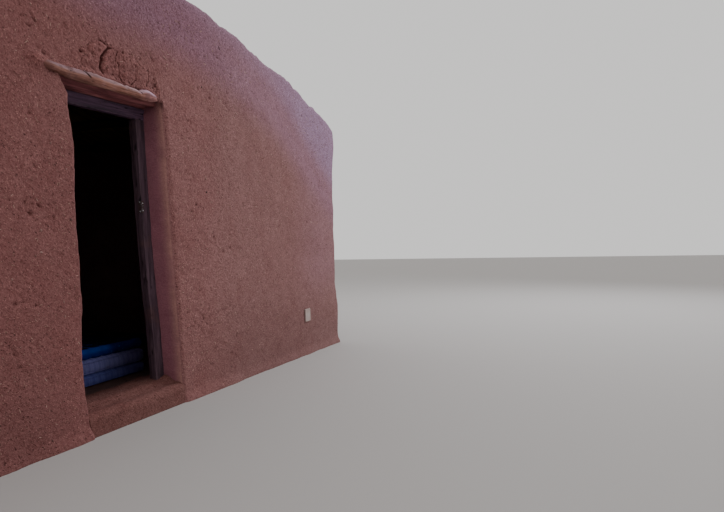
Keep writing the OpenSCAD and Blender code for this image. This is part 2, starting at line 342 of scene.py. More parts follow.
def make_patch_map():
    """The lumpy, cracked mud packed over the lintel."""
    m = Map(-0.78, 0.78, 2.02, 2.70, 0.002)
    inside = np.zeros(m.h.shape, bool)
    pts = PATCH_LINE
    for (xa, za), (xb, zb) in zip(pts, pts[1:] + pts[:1]):
        if za == zb:
            continue
        hit = ((za > m.gz) != (zb > m.gz)) & (m.gx < (xb - xa) * (m.gz - za) / (zb - za) + xa)
        inside ^= hit
    mask = m.blur(0.012, inside.astype(float))
    m.mask = mask
    p = np.stack([m.gx.ravel(), np.zeros(m.gx.size), m.gz.ravel()], axis=1)
    wob = (0.010 * perlin(p * 19, 41) + 0.006 * perlin(p * 43, 42)).reshape(m.h.shape)
    gx, gz = m.gx, m.gz
    m.gx, m.gz = gx + wob, gz + np.roll(wob, 37, axis=1)
    m.h += 0.006 * mask
    m.pillow(-0.045, 2.262, 0.082, 0.088, 0.1, 0.009, 3.0)
    m.pillow(0.165, 2.235, 0.150, 0.088, -0.35, 0.008, 3.0)
    m.pillow(0.085, 2.285, 0.070, 0.045, -0.2, 0.004, 2.6)
    m.pillow(0.235, 2.215, 0.058, 0.055, 0.0, 0.004, 2.6)
    m.pillow(-0.185, 2.245, 0.070, 0.055, 0.3, 0.006, 2.6)
    m.pillow(-0.30, 2.215, 0.055, 0.038, 0.2, 0.004, 2.4)
    m.pillow(-0.150, 2.315, 0.075, 0.026, 0.45, 0.005, 2.4)
    m.pillow(-0.105, 2.20, 0.045, 0.030, 0.0, -0.006, 2.0)
    m.pillow(0.345, 2.225, 0.040, 0.062, 0.25, -0.006, 2.0)
    m.gx, m.gz = gx + 0.3 * wob, gz + 0.3 * np.roll(wob, 37, axis=1)
    m.crack([(-0.046, 2.331), (-0.077, 2.309), (-0.095, 2.287), (-0.114, 2.265), (-0.107, 2.247), (-0.119, 2.23),
             (-0.124, 2.211), (-0.125, 2.188), (-0.112, 2.168)], 0.0085, 0.024, 0.45)
    m.crack([(-0.105, 2.262), (-0.131, 2.247), (-0.150, 2.243)], 0.010, 0.009)
    m.crack([(-0.128, 2.366), (-0.101, 2.361), (-0.07, 2.346), (-0.046, 2.334), (-0.012, 2.338), (0.013, 2.332),
             (0.031, 2.328)], 0.0055, 0.010, 0.15)
    m.crack([(0.027, 2.327), (0.005, 2.294), (-0.002, 2.263)], 0.0042, 0.010)
    m.crack([(0.012, 2.262), (0.026, 2.246), (0.027, 2.216), (0.024, 2.186), (0.048, 2.155), (0.086, 2.138)], 0.0045, 0.010)
    m.crack([(0.168, 2.250), (0.168, 2.192), (0.137, 2.161), (0.118, 2.145)], 0.0042, 0.008)
    m.crack([(0.299, 2.290), (0.302, 2.246), (0.287, 2.205), (0.259, 2.167)], 0.0055, 0.011)
    m.crack([(-0.265, 2.235), (-0.27, 2.211), (-0.281, 2.190)], 0.0042, 0.007)
    m.crack([(-0.215, 2.275), (-0.17, 2.262), (-0.135, 2.262)], 0.004, 0.004)
    m.crack([(0.188, 2.311), (0.205, 2.3), (0.222, 2.287)], 0.0045, 0.007)
    m.crack([(0.11, 2.321), (0.147, 2.317)], 0.0045, 0.006)
    m.crack([(0.23, 2.275), (0.25, 2.262)], 0.004, 0.005)
    m.crack([(0.06, 2.30), (0.09, 2.262), (0.10, 2.21)], 0.0032, 0.0035)
    m.gx, m.gz = gx, gz
    # torn edges and lost crumbs over the whole patch, worst beside the door's right corner
    rng = np.random.default_rng(47)
    for _ in range(900):
        x, z = (rng.uniform(-0.44, 0.44), rng.uniform(2.12, 2.40)) if rng.random() < 0.8 else (rng.normal(0.372, 0.028), rng.normal(2.185, 0.045))
        if m.sample(x, z, mask) < 0.35:
            continue
        m.stroke(x, z, rng.normal(-0.9, 0.8), rng.uniform(0.008, 0.026), rng.uniform(0.0026, 0.0055), -rng.uniform(0.0008, 0.0038))
    for _ in range(220):
        x, z = rng.uniform(-0.44, 0.42), rng.uniform(2.12, 2.40)
        if m.sample(x, z, mask) > 0.35:
            m.stroke(x, z, rng.uniform(-1.5, 1.5), rng.uniform(0.010, 0.024), rng.uniform(0.004, 0.008), rng.uniform(0.0008, 0.0030))
    for x, z, r, d in ((0.069, 2.331, 0.0085, 0.011), (0.120, 2.385, 0.006, 0.005), (-0.269, 2.258, 0.007, 0.008),
                       (0.137, 2.155, 0.007, 0.006)):
        m.stroke(x, z, -0.4, r * 2.4, r, -d)
    rough = (0.0026 * perlin(p * 21, 43) + 0.0021 * perlin(p * 47, 44) + 0.0014 * perlin(p * 95, 45)).reshape(m.h.shape)
    m.h += mask * rough
    # mud squeezed up against the facing log, thinning out over its buried left end
    d = gz - log_top(gx)
    lip = 0.011 * np.exp(-(d / 0.024) ** 2) * smooth(-0.66, -0.55, gx) * (1 - smooth(0.36, 0.43, gx))
    m.h += lip
    wash = 0.024 * np.exp(-((gx + 0.585) / 0.055) ** 2 - ((gz - 2.135) / 0.045) ** 2)
    m.h += wash
    m.h += 0.012 * np.exp(-((gx - 0.415) / 0.05) ** 2 - ((gz - 2.14) / 0.05) ** 2)
    return m


FRONT = make_front_map()
FRONT_LOW = FRONT.blur(0.014)
PATCH = make_patch_map()
PATCH_LOW = PATCH.blur(0.016)

SKY_X = [-3.3, -2.9, -2.4, -1.9, -1.5, -1.1, -0.7, -0.3, 0.1, 0.5, 0.84, 0.95, 1.02, 1.10, 1.18, 1.30, 1.39, 1.48, 1.56, 1.66, 1.76,
         1.86, 1.96, 2.06, 2.18, 2.27, 2.36, 2.42, 2.48, 2.57, 2.64, 2.73, 2.82, 2.90, 3.02, 3.16, 3.26]
SKY_DZ = [12, 18, 4, 14, 20, 8, 16, 24, 12, 20, 26, 22, 26, 14, 8, 13, 14, 10, -1, -8, -10,
          -15, -4, 7, 21, 25, 19, 11, 19, 10, 8, 6, 20, 28, 30, 30, 22]
EDGE_X = [0.80, 0.88, 0.93, 0.98, 1.03, 1.08, 1.13, 1.16, 1.19, 1.22, 1.27, 1.32, 1.35, 1.41, 1.44, 1.50, 1.56, 1.59, 1.65, 1.68, 1.71,
          1.75, 1.81, 1.88, 1.95, 2.02, 2.10, 2.13, 2.21, 2.25, 2.285, 2.325, 2.365, 2.405, 2.445, 2.485, 2.525, 2.57, 2.61,
          2.65, 2.70, 2.74, 2.79, 2.835, 2.88, 2.93, 2.98, 3.07, 3.12, 3.17, 3.22]
EDGE_DZ = [0, 3, 7, 9, 12.5, 14.5, 12.5, 13, 8, 5, 7, 11.5, 10, 14, 21, 17, 20, 14, 16.5, 20, 16,
           21, 17.5, 14, 11.5, 14.5, 17, 13.5, 17, 21.5, 21.5, 30, 24, 17, 22, 32, 35, 36, 29,
           31, 26, 17, 15.5, 26, 12, 14, 18, 15, 23, 24, 17]
SIDE_Z = [0, 0.15, 0.33, 0.415, 0.50, 0.68, 0.765, 0.85, 1.20, 1.29, 1.38, 1.465, 1.55, 1.64, 1.73, 1.90, 1.99, 2.08, 2.16, 2.25]
SIDE_D = [0, 0.1, 1.1, 1.4, 0.7, 0, 0.5, 0.7, 0.7, 0.8, 0.9, 1.0, 0.2, -0.2, 0, 0.2, 0.5, 0.8, 0.8, 0]
CORNER_Z = [0, 0.242, 0.577, 0.912, 1.247, 1.58, 1.917, 2.10, 2.28]
CORNER_D = [0.3, 0.2, -0.4, -1.5, -1.7, -1.4, -1.1, -0.1, 0.8]


def displace(P, Nn, hf, outer=True):
    """Points of the plain surface moved onto the mud's relief, and how deep each lies in its surroundings."""
    P = np.asarray(P, float)
    big = 0.010 * perlin(P * 0.85, 1) + 0.006 * perlin(P * 2.4, 2)
    mid = 0.0032 * perlin(P * 6.5, 3) + 0.0018 * perlin(P * 15, 4)
    fine = hf * (0.0012 * perlin(P * 33, 5) + 0.0010 * perlin(P * 71, 6))
    d = big + mid + fine
    cav = hf * 0.6 * (perlin(P * 33, 5) * 0.0012 + perlin(P * 71, 6) * 0.0010) + 0.3 * 0.0018 * perlin(P * 15, 4)
    out = P.copy()
    if outer:
        face = smooth(0.6, 0.95, -Nn[:, 1]) * (P[:, 1] < 0)
        f = FRONT.sample(P[:, 0], P[:, 2])
        fl = FRONT.sample(P[:, 0], P[:, 2], FRONT_LOW)
        g = PATCH.sample(P[:, 0], P[:, 2])
        gl = PATCH.sample(P[:, 0], P[:, 2], PATCH_LOW)
        d = d + face * (hf * f + g)
        cav = cav + face * (hf * (f - fl) + (g - gl))
        # the wall stays flat where the cover plate sits
        plate = face * np.exp(-((P[:, 0] - 2.515) / 0.13) ** 4 - ((P[:, 2] - 0.397) / 0.14) ** 4)
        d = d * (1 - 0.92 * plate)
        d = d + 0.020 * (1 - smooth(0, 0.11, P[:, 2])) ** 2 * (1 + 0.5 * perlin(P * 5, 9)) * (np.abs(Nn[:, 2]) < 0.5)
    out += Nn * d[:, None]
    if outer:
        w = smooth(2.5, 3.25, P[:, 0]) * smooth(1.0, 1.9, -P[:, 1])
        k = (np.interp(P[:, 2], CORNER_Z, CORNER_D) + np.interp(P[:, 2], SIDE_Z, SIDE_D)) * w
        out[:, 0] += 0.0125 * k
        out[:, 1] -= 0.0067 * k
    return out, cav


# ---------------------------------------------------------------- the mud walls
NF = 416
FINE = np.arange(NF + 1) / NF
T_OF = {"f": FINE, "m": FINE[::2], "c": FINE[::4], "v": FINE[::13]}
SKIN = {}                                # triangles of all mud pieces, for shared normals


def spaced(a, b, step):
    return np.linspace(a, b, max(1, int(round(abs(b - a) / step))) + 1)


def col(x, y, nx, ny, T="c", hf=0.0, kind=0, q=9.0, ts=None):
    """One upright column of a wall: plan point, normal, row set, fine detail, kind (0 outside, 1 reveal, 2 room, 3 joint)."""
    z_top = float(arch(x, R_SEAM))
    ts = T_OF[T] if ts is None else np.asarray(ts) / z_top
    return dict(x=x, y=y, nx=nx, ny=ny, ts=ts, zt=z_top, hf=hf, kind=kind, q=q)


def arc_cols(cx, cy, a0, a1, n, r=R_CORNER, **k):
    """Columns round an outside corner, without its two ends."""
    return [col(cx + r * math.cos(a), cy + r * math.sin(a), math.cos(a), math.sin(a), **k)
            for a in np.linspace(a0, a1, n + 2)[1:-1]]


def zip_cols(ia, ta, ib, tb):
    """Triangles between two columns with different rows; a comes before b going round."""
    out, i, j = [], 0, 0
    while i < len(ia) - 1 or j < len(ib) - 1:
        if j == len(ib) - 1 or (i < len(ia) - 1 and ta[i + 1] <= tb[j + 1]):
            out.append((ia[i], ib[j], ia[i + 1]))
            i += 1
        else:
            out.append((ia[i], ib[j], ib[j + 1]))
            j += 1
    return out


DOOR = {
    "left": dict(e=LEFT_E, s=1, r=0.024, m=(2.10, 2.136),
                 z=[0, 0.168, 0.332, 0.483, 0.659, 0.834, 1.067, 1.297, 1.524, 1.747, 1.867, 1.922, 1.969, 2.003, 2.015, 2.03,
                    2.046, 2.066, 2.086, 2.098, 2.12],
                 x=[-0.388, -0.394, -0.400, -0.404, -0.396, -0.382, -0.378, -0.374, -0.367, -0.367, -0.370, -0.370, -0.369, -0.372,
                    -0.386, -0.404, -0.405, -0.414, -0.419, -0.430, -0.43],
                 z2=[0, 0.168, 0.308, 0.368, 0.426, 0.487, 0.545, 0.603, 0.662, 0.72, 0.777, 0.835, 0.894, 0.952, 1.009, 1.067,
                     1.125, 1.182, 1.239, 1.296, 1.353, 1.409, 1.466, 1.522, 1.579, 1.635, 1.692, 1.747, 1.802, 1.84, 1.872,
                     1.888, 1.904, 1.921, 1.937, 1.953, 1.97, 1.987, 2.004, 2.019, 2.034, 2.06],
                 x2=[0, -0.006, -0.009, -0.012, -0.009, -0.012, -0.009, -0.005, 0, -0.001, 0.005, -0.001, -0.010, -0.011, -0.005, 0,
                     -0.006, -0.010, -0.016, -0.014, -0.012, -0.015, -0.012, -0.008, -0.002, 0.002, 0.008, 0.006, 0.002, -0.005, -0.008,
                     -0.011, -0.015, -0.018, -0.019, -0.019, -0.016, -0.011, -0.005, 0.002, 0.007, 0]),
    "right": dict(e=RIGHT_E, s=-1, r=0.034, m=(2.045, 2.098),
                  z=[0, 0.202, 0.387, 0.677, 0.962, 1.242, 1.518, 1.79, 1.923, 2.055, 2.085, 2.105, 2.14, 2.18, 2.23],
                  x=[0.498, 0.497, 0.492, 0.484, 0.476, 0.469, 0.461, 0.465, 0.456, 0.446, 0.436, 0.427, 0.434, 0.454, 0.470],
                  z2=[0, 1], x2=[0, 0]),
}


def jamb_lean(z):
    """The right jamb and its reveal stand further right at the foot, further left at the head."""
    return np.interp(np.asarray(z, float), [0.16, 0.45, 0.62, 0.78, 0.95, 1.20, 1.50, 1.91], [0.030, 0.025, 0.017, 0.006, -0.004, -0.011, -0.014, -0.021])


def edge_line(D, z):
    """How far the door's edge stands off its straight line at a height."""
    s = D["s"]
    wob = 0.0022 * perlin(np.stack([z * 21, z * 0, z * 0 + 3 * s], axis=1), 61) \
        + 0.0014 * perlin(np.stack([z * 52, z * 0, z * 0 + 5 * s], axis=1), 62)
    return np.interp(z, D["z"], D["x"]) + np.interp(z, D["z2"], D["x2"]) - D["e"] + wob * (1 - smooth(2.10, 2.2, z))


def finish_columns(cols, side=None, shape=None):
    """Base points of every column vertex, moved onto the relief."""
    n = np.array([len(c["ts"]) for c in cols])
    rep = lambda key: np.repeat(np.array([c[key] for c in cols], float), n)
    z = np.concatenate([c["ts"] * c["zt"] for c in cols])
    P = np.stack([rep("x"), rep("y"), z], axis=1)
    Nn = np.stack([rep("nx"), rep("ny"), np.zeros(len(z))], axis=1)
    hf, kind, q = rep("hf"), rep("kind"), rep("q")
    amp = np.where(kind == 3, 0.0, 1.0)
    shift = np.zeros(len(z))
    rim = np.zeros(len(z))
    if side:
        D = DOOR[side]
        s, r, e = D["s"], D["r"], D["e"]
        m = smooth(D["m"][0], D["m"][1], z)
        near = np.abs(q) < r
        phi = np.radians(45 + 45 * np.clip(q / r, -1, 1))
        ax, ay = e - s * r + s * r * np.sin(phi), -HD + r - r * np.cos(phi)
        P[:, 0] = np.where(near, (1 - m) * ax + m * P[:, 0], P[:, 0])
        P[:, 1] = np.where(near, (1 - m) * ay + m * P[:, 1], P[:, 1])
        fx = np.where(q <= 0, 0.0, s)
        fy = np.where(q <= 0, -1.0, 0.0)
        nx, ny = (1 - m) * s * np.sin(phi) + m * fx, -(1 - m) * np.cos(phi) + m * fy
        ln = np.hypot(nx, ny)
        Nn[:, 0] = np.where(near, nx / ln, Nn[:, 0])
        Nn[:, 1] = np.where(near, ny / ln, Nn[:, 1])
        reveal = (kind == 1) & (q > 0) & (q < 8)
        amp = np.where(reveal, amp * (1 - m), amp)
        fade = np.where(q <= 0, 1 - smooth(0, 0.13, -q), np.clip(1 - q / 0.172, 0, 1)) * (np.abs(q) < 8)
        shift = edge_line(D, z) * fade * ((1 - m) if side == "left" else 1)
        if side == "right":
            shift = shift + jamb_lean(z) * (q > 0) * (q < 8) * np.clip(q / 0.172, 0, 1) * (1 - smooth(0.26, 0.40, q)) * (1 - smooth(2.03, 2.10, z))
        # mask of the painted highlight that runs along the door's arris
        rim = np.exp(-((q - 0.45 * r) / (0.55 * r)) ** 2) * (1 - m) * (np.abs(q) < 8)
    outer = (kind < 1.5)
    out, cav = displace(P, Nn, hf)
    inner, cav_in = displace(P * [1, 1, 1] + [7, 3, 0], Nn, hf * 0.6, outer=False)
    inner = inner - [7, 3, 0]
    res = np.where(outer[:, None], out, inner)
    cav = np.where(outer, cav, cav_in)
    res = P + (res - P) * amp[:, None]
    res[:, 0] += shift
    if side:
        # the reveal widens behind the frame, over the sill and under the logs
        out_ = np.abs(P[:, 0] - e) * (kind == 2)
        deep = np.clip((P[:, 1] - SPLAY_Y) / (IN_Y - SPLAY_Y), 0, 1)
        tall = smooth(0.135, 0.165, z) * (1 - smooth(2.070, 2.100, z))
        res[:, 0] -= s * SPLAY * deep * tall * (1 - smooth(0.0, 0.62, out_)) * (kind > 0.5) * (kind < 2.5) * (P[:, 1] > SPLAY_Y)
    res[:, 2] = np.where(z <= 0, 0.0, np.maximum(res[:, 2], 0.0005))
    if shape:
        res = shape(res, P, q, kind)
    return res, cav * amp, rim, np.concatenate([[0], np.cumsum(n)])


def wall_piece(name, cols, nodes, side=None, shape=None):
    pts, cav, rim, start = finish_columns(cols, side, shape)
    tris, quads = [], []
    k = len(cols)
    for a in range(k):
        b = (a + 1) % k
        ia, ib = np.arange(start[a], start[a + 1]), np.arange(start[b], start[b + 1])
        if len(ia) == len(ib) and np.allclose(cols[a]["ts"], cols[b]["ts"], atol=0.004):
            quads.append(np.stack([ia[:-1], ib[:-1], ib[1:], ia[1:]], axis=1))
        else:
            tris.append(np.array(zip_cols(ia, cols[a]["ts"], ib, cols[b]["ts"])))
    kinds = np.concatenate([np.full(start[i + 1] - start[i], cols[i]["kind"]) for i in range(k)])
    kinds[(kinds == 1) & (pts[:, 2] > 2.104)] = 3
    shown_t = np.concatenate(tris) if tris else np.zeros((0, 3), int)
    shown_q = np.concatenate(quads)
    shown_t = shown_t[(kinds[shown_t] < 2.5).all(1)]
    shown_q = shown_q[(kinds[shown_q] < 2.5).all(1)]
    bottom, top = start[:-1], start[1:] - 1
    tris.append(bottom[cap_faces(pts[bottom], flip=True)])
    tris.append(top[cap_faces(pts[top])])
    tris = np.concatenate(tris)
    quads = np.concatenate(quads)
    ob = mesh_object(name, pts, tris, quads)
    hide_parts(*nodes)
    # cav drives painted shade in the hollows and painted highlight on the edges; rim drives a painted highlight along
    # the door's arris
    set_attr(ob, "cav", cav)
    set_attr(ob, "rim", rim)
    # reveal: where the reveal's colour goes, partly finer mud and partly painted light
    rev = np.concatenate([np.full(start[i + 1] - start[i], float(cols[i]["kind"] == 1) * float(smooth(0.003, 0.020, cols[i]["q"])))
                          for i in range(k)])
    set_attr(ob, "reveal", rev)
    # lip: the reveal's strip by the arris, painted lighter as painted light
    lip = np.concatenate([np.full(start[i + 1] - start[i], float(cols[i]["kind"] == 1) * float(1 - smooth(0.022, 0.105, cols[i]["q"])))
                          for i in range(k)])
    set_attr(ob, "lip", lip)
    set_attr(ob, "patch", PATCH.sample(pts[:, 0], pts[:, 2], PATCH.mask) * (pts[:, 1] < -2.0))
    SKIN[name] = (ob, pts, shown_t, shown_q)
    return ob, top


# plan of the outside, in pieces, going counter-clockwise seen from above
def front_hf(x):
    return float(0.75 + 0.25 * smooth(-1.25, -1.05, x) - 0.37 * smooth(1.15, 1.6, x)) * float(1 - 0.6 * smooth(3.0, 3.25, abs(x)))


def side_hf(d):
    return 0.3 * float(1 - smooth(0.0, 0.30, d))


xs_left = np.concatenate([spaced(-3.25, -1.05, 0.024)[:-1], spaced(-1.05, LEFT_E, 0.0067)])
xs_mid = spaced(LEFT_E, RIGHT_E, 0.0037)
xs_right = np.concatenate([spaced(RIGHT_E, 1.25, 0.0087)[:-1], spaced(1.25, 3.25, 0.0148)])

# front wall, left of the door
side_l = [col(-HW, y, -1, 0, "c" if y > -1.70 else "m", side_hf(abs(y + 2.03))) for y in
          -spaced(1.68, 2.03, 0.0233)]
corner_fl = arc_cols(-3.25, -2.03, math.pi, 1.5 * math.pi, 7, T="m", hf=0.3)
front_l = [col(x, -HD, 0, -1, "m" if x < -1.05 else "f", front_hf(x), q=x - LEFT_E) for x in xs_left]
r_l = DOOR["left"]["r"]
reveal_l = [col(LEFT_E, -HD + q, 1, 0, "f" if q < 0.16 else "c", 0.5 * float(1 - smooth(0.1, 0.2, q)), kind=1, q=q)
            for q in np.concatenate([[0.006, 0.012, 0.018, r_l], spaced(0.034, 0.16, 0.011), [0.19, 0.225, 0.252, 0.29, 0.34, 0.38, 0.405]])]
room_l = [col(x, IN_Y, 0, 1, "v", kind=2) for x in [LEFT_E - 0.02] + list(-spaced(0.45, 2.86, 0.06))]
inner_l = [col(LEFT_E - 0.004, IN_Y - 0.012, 0.7, 0.7, "c", kind=2)]
joint_l = [col(-2.90, IN_Y, 0, 1, "v", kind=3), col(-3.10, IN_Y, 0, 1, "v", kind=3)]
wall_l, top_l = wall_piece("front_mud_left", side_l + corner_fl + front_l + reveal_l + inner_l + room_l + joint_l,
                           ["front_wall_left"], side="left")
side_l_n, corner_n = len(side_l), len(corner_fl)

# front wall, right of the door
r_r = DOOR["right"]["r"]
reveal_r = [col(RIGHT_E, -HD + q, -1, 0, "f" if q < 0.18 else "c", 0.35 * float(1 - smooth(0.1, 0.25, q)), kind=1, q=q)
            for q in np.concatenate([[0.405, 0.38, 0.34, 0.29, 0.252, 0.225, 0.20], spaced(0.172, 0.042, 0.0095), [r_r, 0.026, 0.018, 0.009]])]
front_r = [col(x, -HD, 0, -1, "f" if x < 1.25 else "m", front_hf(x), q=RIGHT_E - x) for x in xs_right]
corner_fr = arc_cols(3.25, -2.03, 1.5 * math.pi, 2 * math.pi, 7, T="m", hf=0.3)
side_r = [col(HW, y, 1, 0, "c" if y > -1.70 else "m", side_hf(abs(y + 2.03))) for y in -spaced(2.03, 1.68, 0.0233)]
joint_r = [col(3.10, IN_Y, 0, 1, "v", kind=3), col(2.90, IN_Y, 0, 1, "v", kind=3)]
room_r = [col(x, IN_Y, 0, 1, "v", kind=2) for x in list(spaced(2.86, 0.53, 0.06)) + [RIGHT_E + 0.02]]
inner_r = [col(RIGHT_E + 0.004, IN_Y - 0.012, -0.7, 0.7, "c", kind=2)]
wall_r, top_r = wall_piece("front_mud_right", reveal_r + front_r + corner_fr + side_r + joint_r + room_r + inner_r,
                           ["front_wall_right"], side="right")


# front wall over the door, resting on the lintel's logs
def under_z(x):
    return OVER_Z - 0.038 * float(smooth(0.29, 0.36, x))


def over_ts(x, coarse=False, deep=0.0):
    z_top = float(arch(x, R_SEAM))
    zb = under_z(x) if deep < 0.02 else OVER_Z
    if coarse:
        return np.concatenate([[zb], spaced(2.20, z_top, 0.07)])
    if abs(x - LEFT_E) < 1e-6 or abs(x - RIGHT_E) < 1e-6:
        rows = FINE[FINE * z_top > zb + 0.002] * z_top
        return np.concatenate([[zb], rows])
    j0 = 328
    z0 = FINE[j0] * z_top
    low = np.linspace(zb, z0, 9)[:-1]
    fine = np.arange(j0, NF - 44, 0.5) / NF * z_top
    return np.concatenate([low, fine, FINE[NF - 44:] * z_top])


def over_cols():
    out = [col(x, -HD, 0, -1, hf=1.0, q=9, ts=over_ts(x)) for x in xs_mid]
    out += [col(RIGHT_E, y, 1, 0, kind=3, ts=over_ts(RIGHT_E, True, 0.1)) for y in (-2.0, -1.84)]
    out += [col(x, IN_Y, 0, 1, kind=2, ts=over_ts(x, True, 0.4)) for x in spaced(RIGHT_E, LEFT_E, 0.06)]
    out += [col(LEFT_E, y, -1, 0, kind=3, ts=over_ts(LEFT_E, True, 0.1)) for y in (-1.84, -2.0)]
    return out


def over_shape(res, P, q, kind):
    """Rounds the lower edge back towards the logs."""
    zb = np.array([under_z(x) for x in P[:, 0]])
    r = 0.022
    k = np.clip(1 - (P[:, 2] - zb) / r, 0, 1)
    lip = (r - np.sqrt(np.maximum(r * r - (r * k) ** 2, 0))) * smooth(0, 0.03, RIGHT_E - P[:, 0]) * smooth(0, 0.03, P[:, 0] - LEFT_E)
    front = (P[:, 1] < -HD + 1e-6) & (kind == 0)
    res[:, 1] += np.where(front, lip, 0)
    move = edge_line(DOOR["right"], P[:, 2]) * (1 - smooth(0, 0.13, RIGHT_E - P[:, 0]))
    res[:, 0] += np.where(front, move, 0)
    return res


wall_o, top_o = wall_piece("front_mud_over_door", over_cols(), ["front_wall_over_door"], shape=over_shape)

# side walls
BACK_IN = HD - WT
ys_side = spaced(1.68, -1.68, 0.046)
left_cols = [col(-HW, y, -1, 0, "c") for y in ys_side]
left_cols += [col(-3.10, -1.68, 0, -1, "v", kind=3), col(-2.90, -1.68, 0, -1, "v", kind=3)]
left_cols += [col(-2.90, y, 1, 0, "v", kind=2) for y in spaced(-1.64, 1.64, 0.06)]
left_cols += [col(-2.90, 1.68, 0, 1, "v", kind=3), col(-3.10, 1.68, 0, 1, "v", kind=3)]
wall_sl, top_sl = wall_piece("side_mud_left", left_cols, ["left_wall"])
right_cols = [col(HW, y, 1, 0, "c") for y in ys_side[::-1]]
right_cols += [col(3.10, 1.68, 0, 1, "v", kind=3), col(2.90, 1.68, 0, 1, "v", kind=3)]
right_cols += [col(2.90, y, -1, 0, "v", kind=2) for y in spaced(1.64, -1.64, 0.06)]
right_cols += [col(2.90, -1.68, 0, -1, "v", kind=3), col(3.10, -1.68, 0, -1, "v", kind=3)]
wall_sr, top_sr = wall_piece("side_mud_right", right_cols, ["right_wall"])

# back wall, in its two halves
back_side_r = [col(HW, y, 1, 0, "c") for y in spaced(1.68, 2.03, 0.028)]
corner_br = arc_cols(3.25, 2.03, 0, 0.5 * math.pi, 4, T="c")
back_r = [col(x, HD, 0, 1, "c") for x in spaced(3.25, 0.0, 0.046)]
joint_b = [col(0.0, 1.95, -1, 0, "v", kind=3), col(0.0, 1.80, -1, 0, "v", kind=3)]
room_br = [col(0.0, BACK_IN, 0, -1, "v", kind=2)] + [col(x, BACK_IN, 0, -1, "v", kind=2) for x in spaced(0.06, 2.86, 0.06)]
joint_br = [col(2.90, BACK_IN, 0, -1, "v", kind=3), col(3.10, BACK_IN, 0, -1, "v", kind=3)]
wall_br, top_br = wall_piece("back_mud_right", back_side_r + corner_br + back_r + joint_b + room_br + joint_br, ["back_wall_right"])
back_l = [col(x, HD, 0, 1, "c") for x in spaced(0.0, -3.25, 0.046)]
corner_bl = arc_cols(-3.25, 2.03, 0.5 * math.pi, math.pi, 4, T="c")
back_side_l = [col(-HW, y, -1, 0, "c") for y in spaced(2.03, 1.68, 0.028)]
joint_bl = [col(-3.10, BACK_IN, 0, -1, "v", kind=3), col(-2.90, BACK_IN, 0, -1, "v", kind=3)]
room_bl = [col(x, BACK_IN, 0, -1, "v", kind=2) for x in spaced(-2.86, -0.06, 0.06)] + [col(0.0, BACK_IN, 0, -1, "v", kind=2)]
joint_bb = [col(0.0, 1.80, 1, 0, "v", kind=3), col(0.0, 1.95, 1, 0, "v", kind=3)]
wall_bl, top_bl = wall_piece("back_mud_left", back_l + corner_bl + back_side_l + joint_bl + room_bl + joint_bb, ["back_wall_left"])


# ---------------------------------------------------------------- the roof's mud coat
over_front = [col(x, -HD, 0, -1, "f", hf=1.0) for x in xs_mid]
outline = (side_l + corner_fl + front_l + over_front[1:] + front_r[1:] + corner_fr + side_r
           + right_cols[1:len(ys_side)] + back_side_r[1:] + corner_br + back_r + back_l[1:] + corner_bl + back_side_l
           + left_cols[1:len(ys_side) - 1])


def roof_lift(x, y):
    """How far the roof's surface stands over the plain arch."""
    P = np.stack([x, y, np.zeros(len(x))], axis=1)
    front = np.exp(-((y + HD) / 0.45) ** 2)
    sky = 0.001 * (np.interp(x, SKY_X, SKY_DZ) + np.interp(x, EDGE_X, EDGE_DZ))
    own = 0.012 * perlin(P * 1.3, 71) + 0.007 * perlin(P * 3.4, 72) + 0.004
    return front * sky + (1 - front) * own


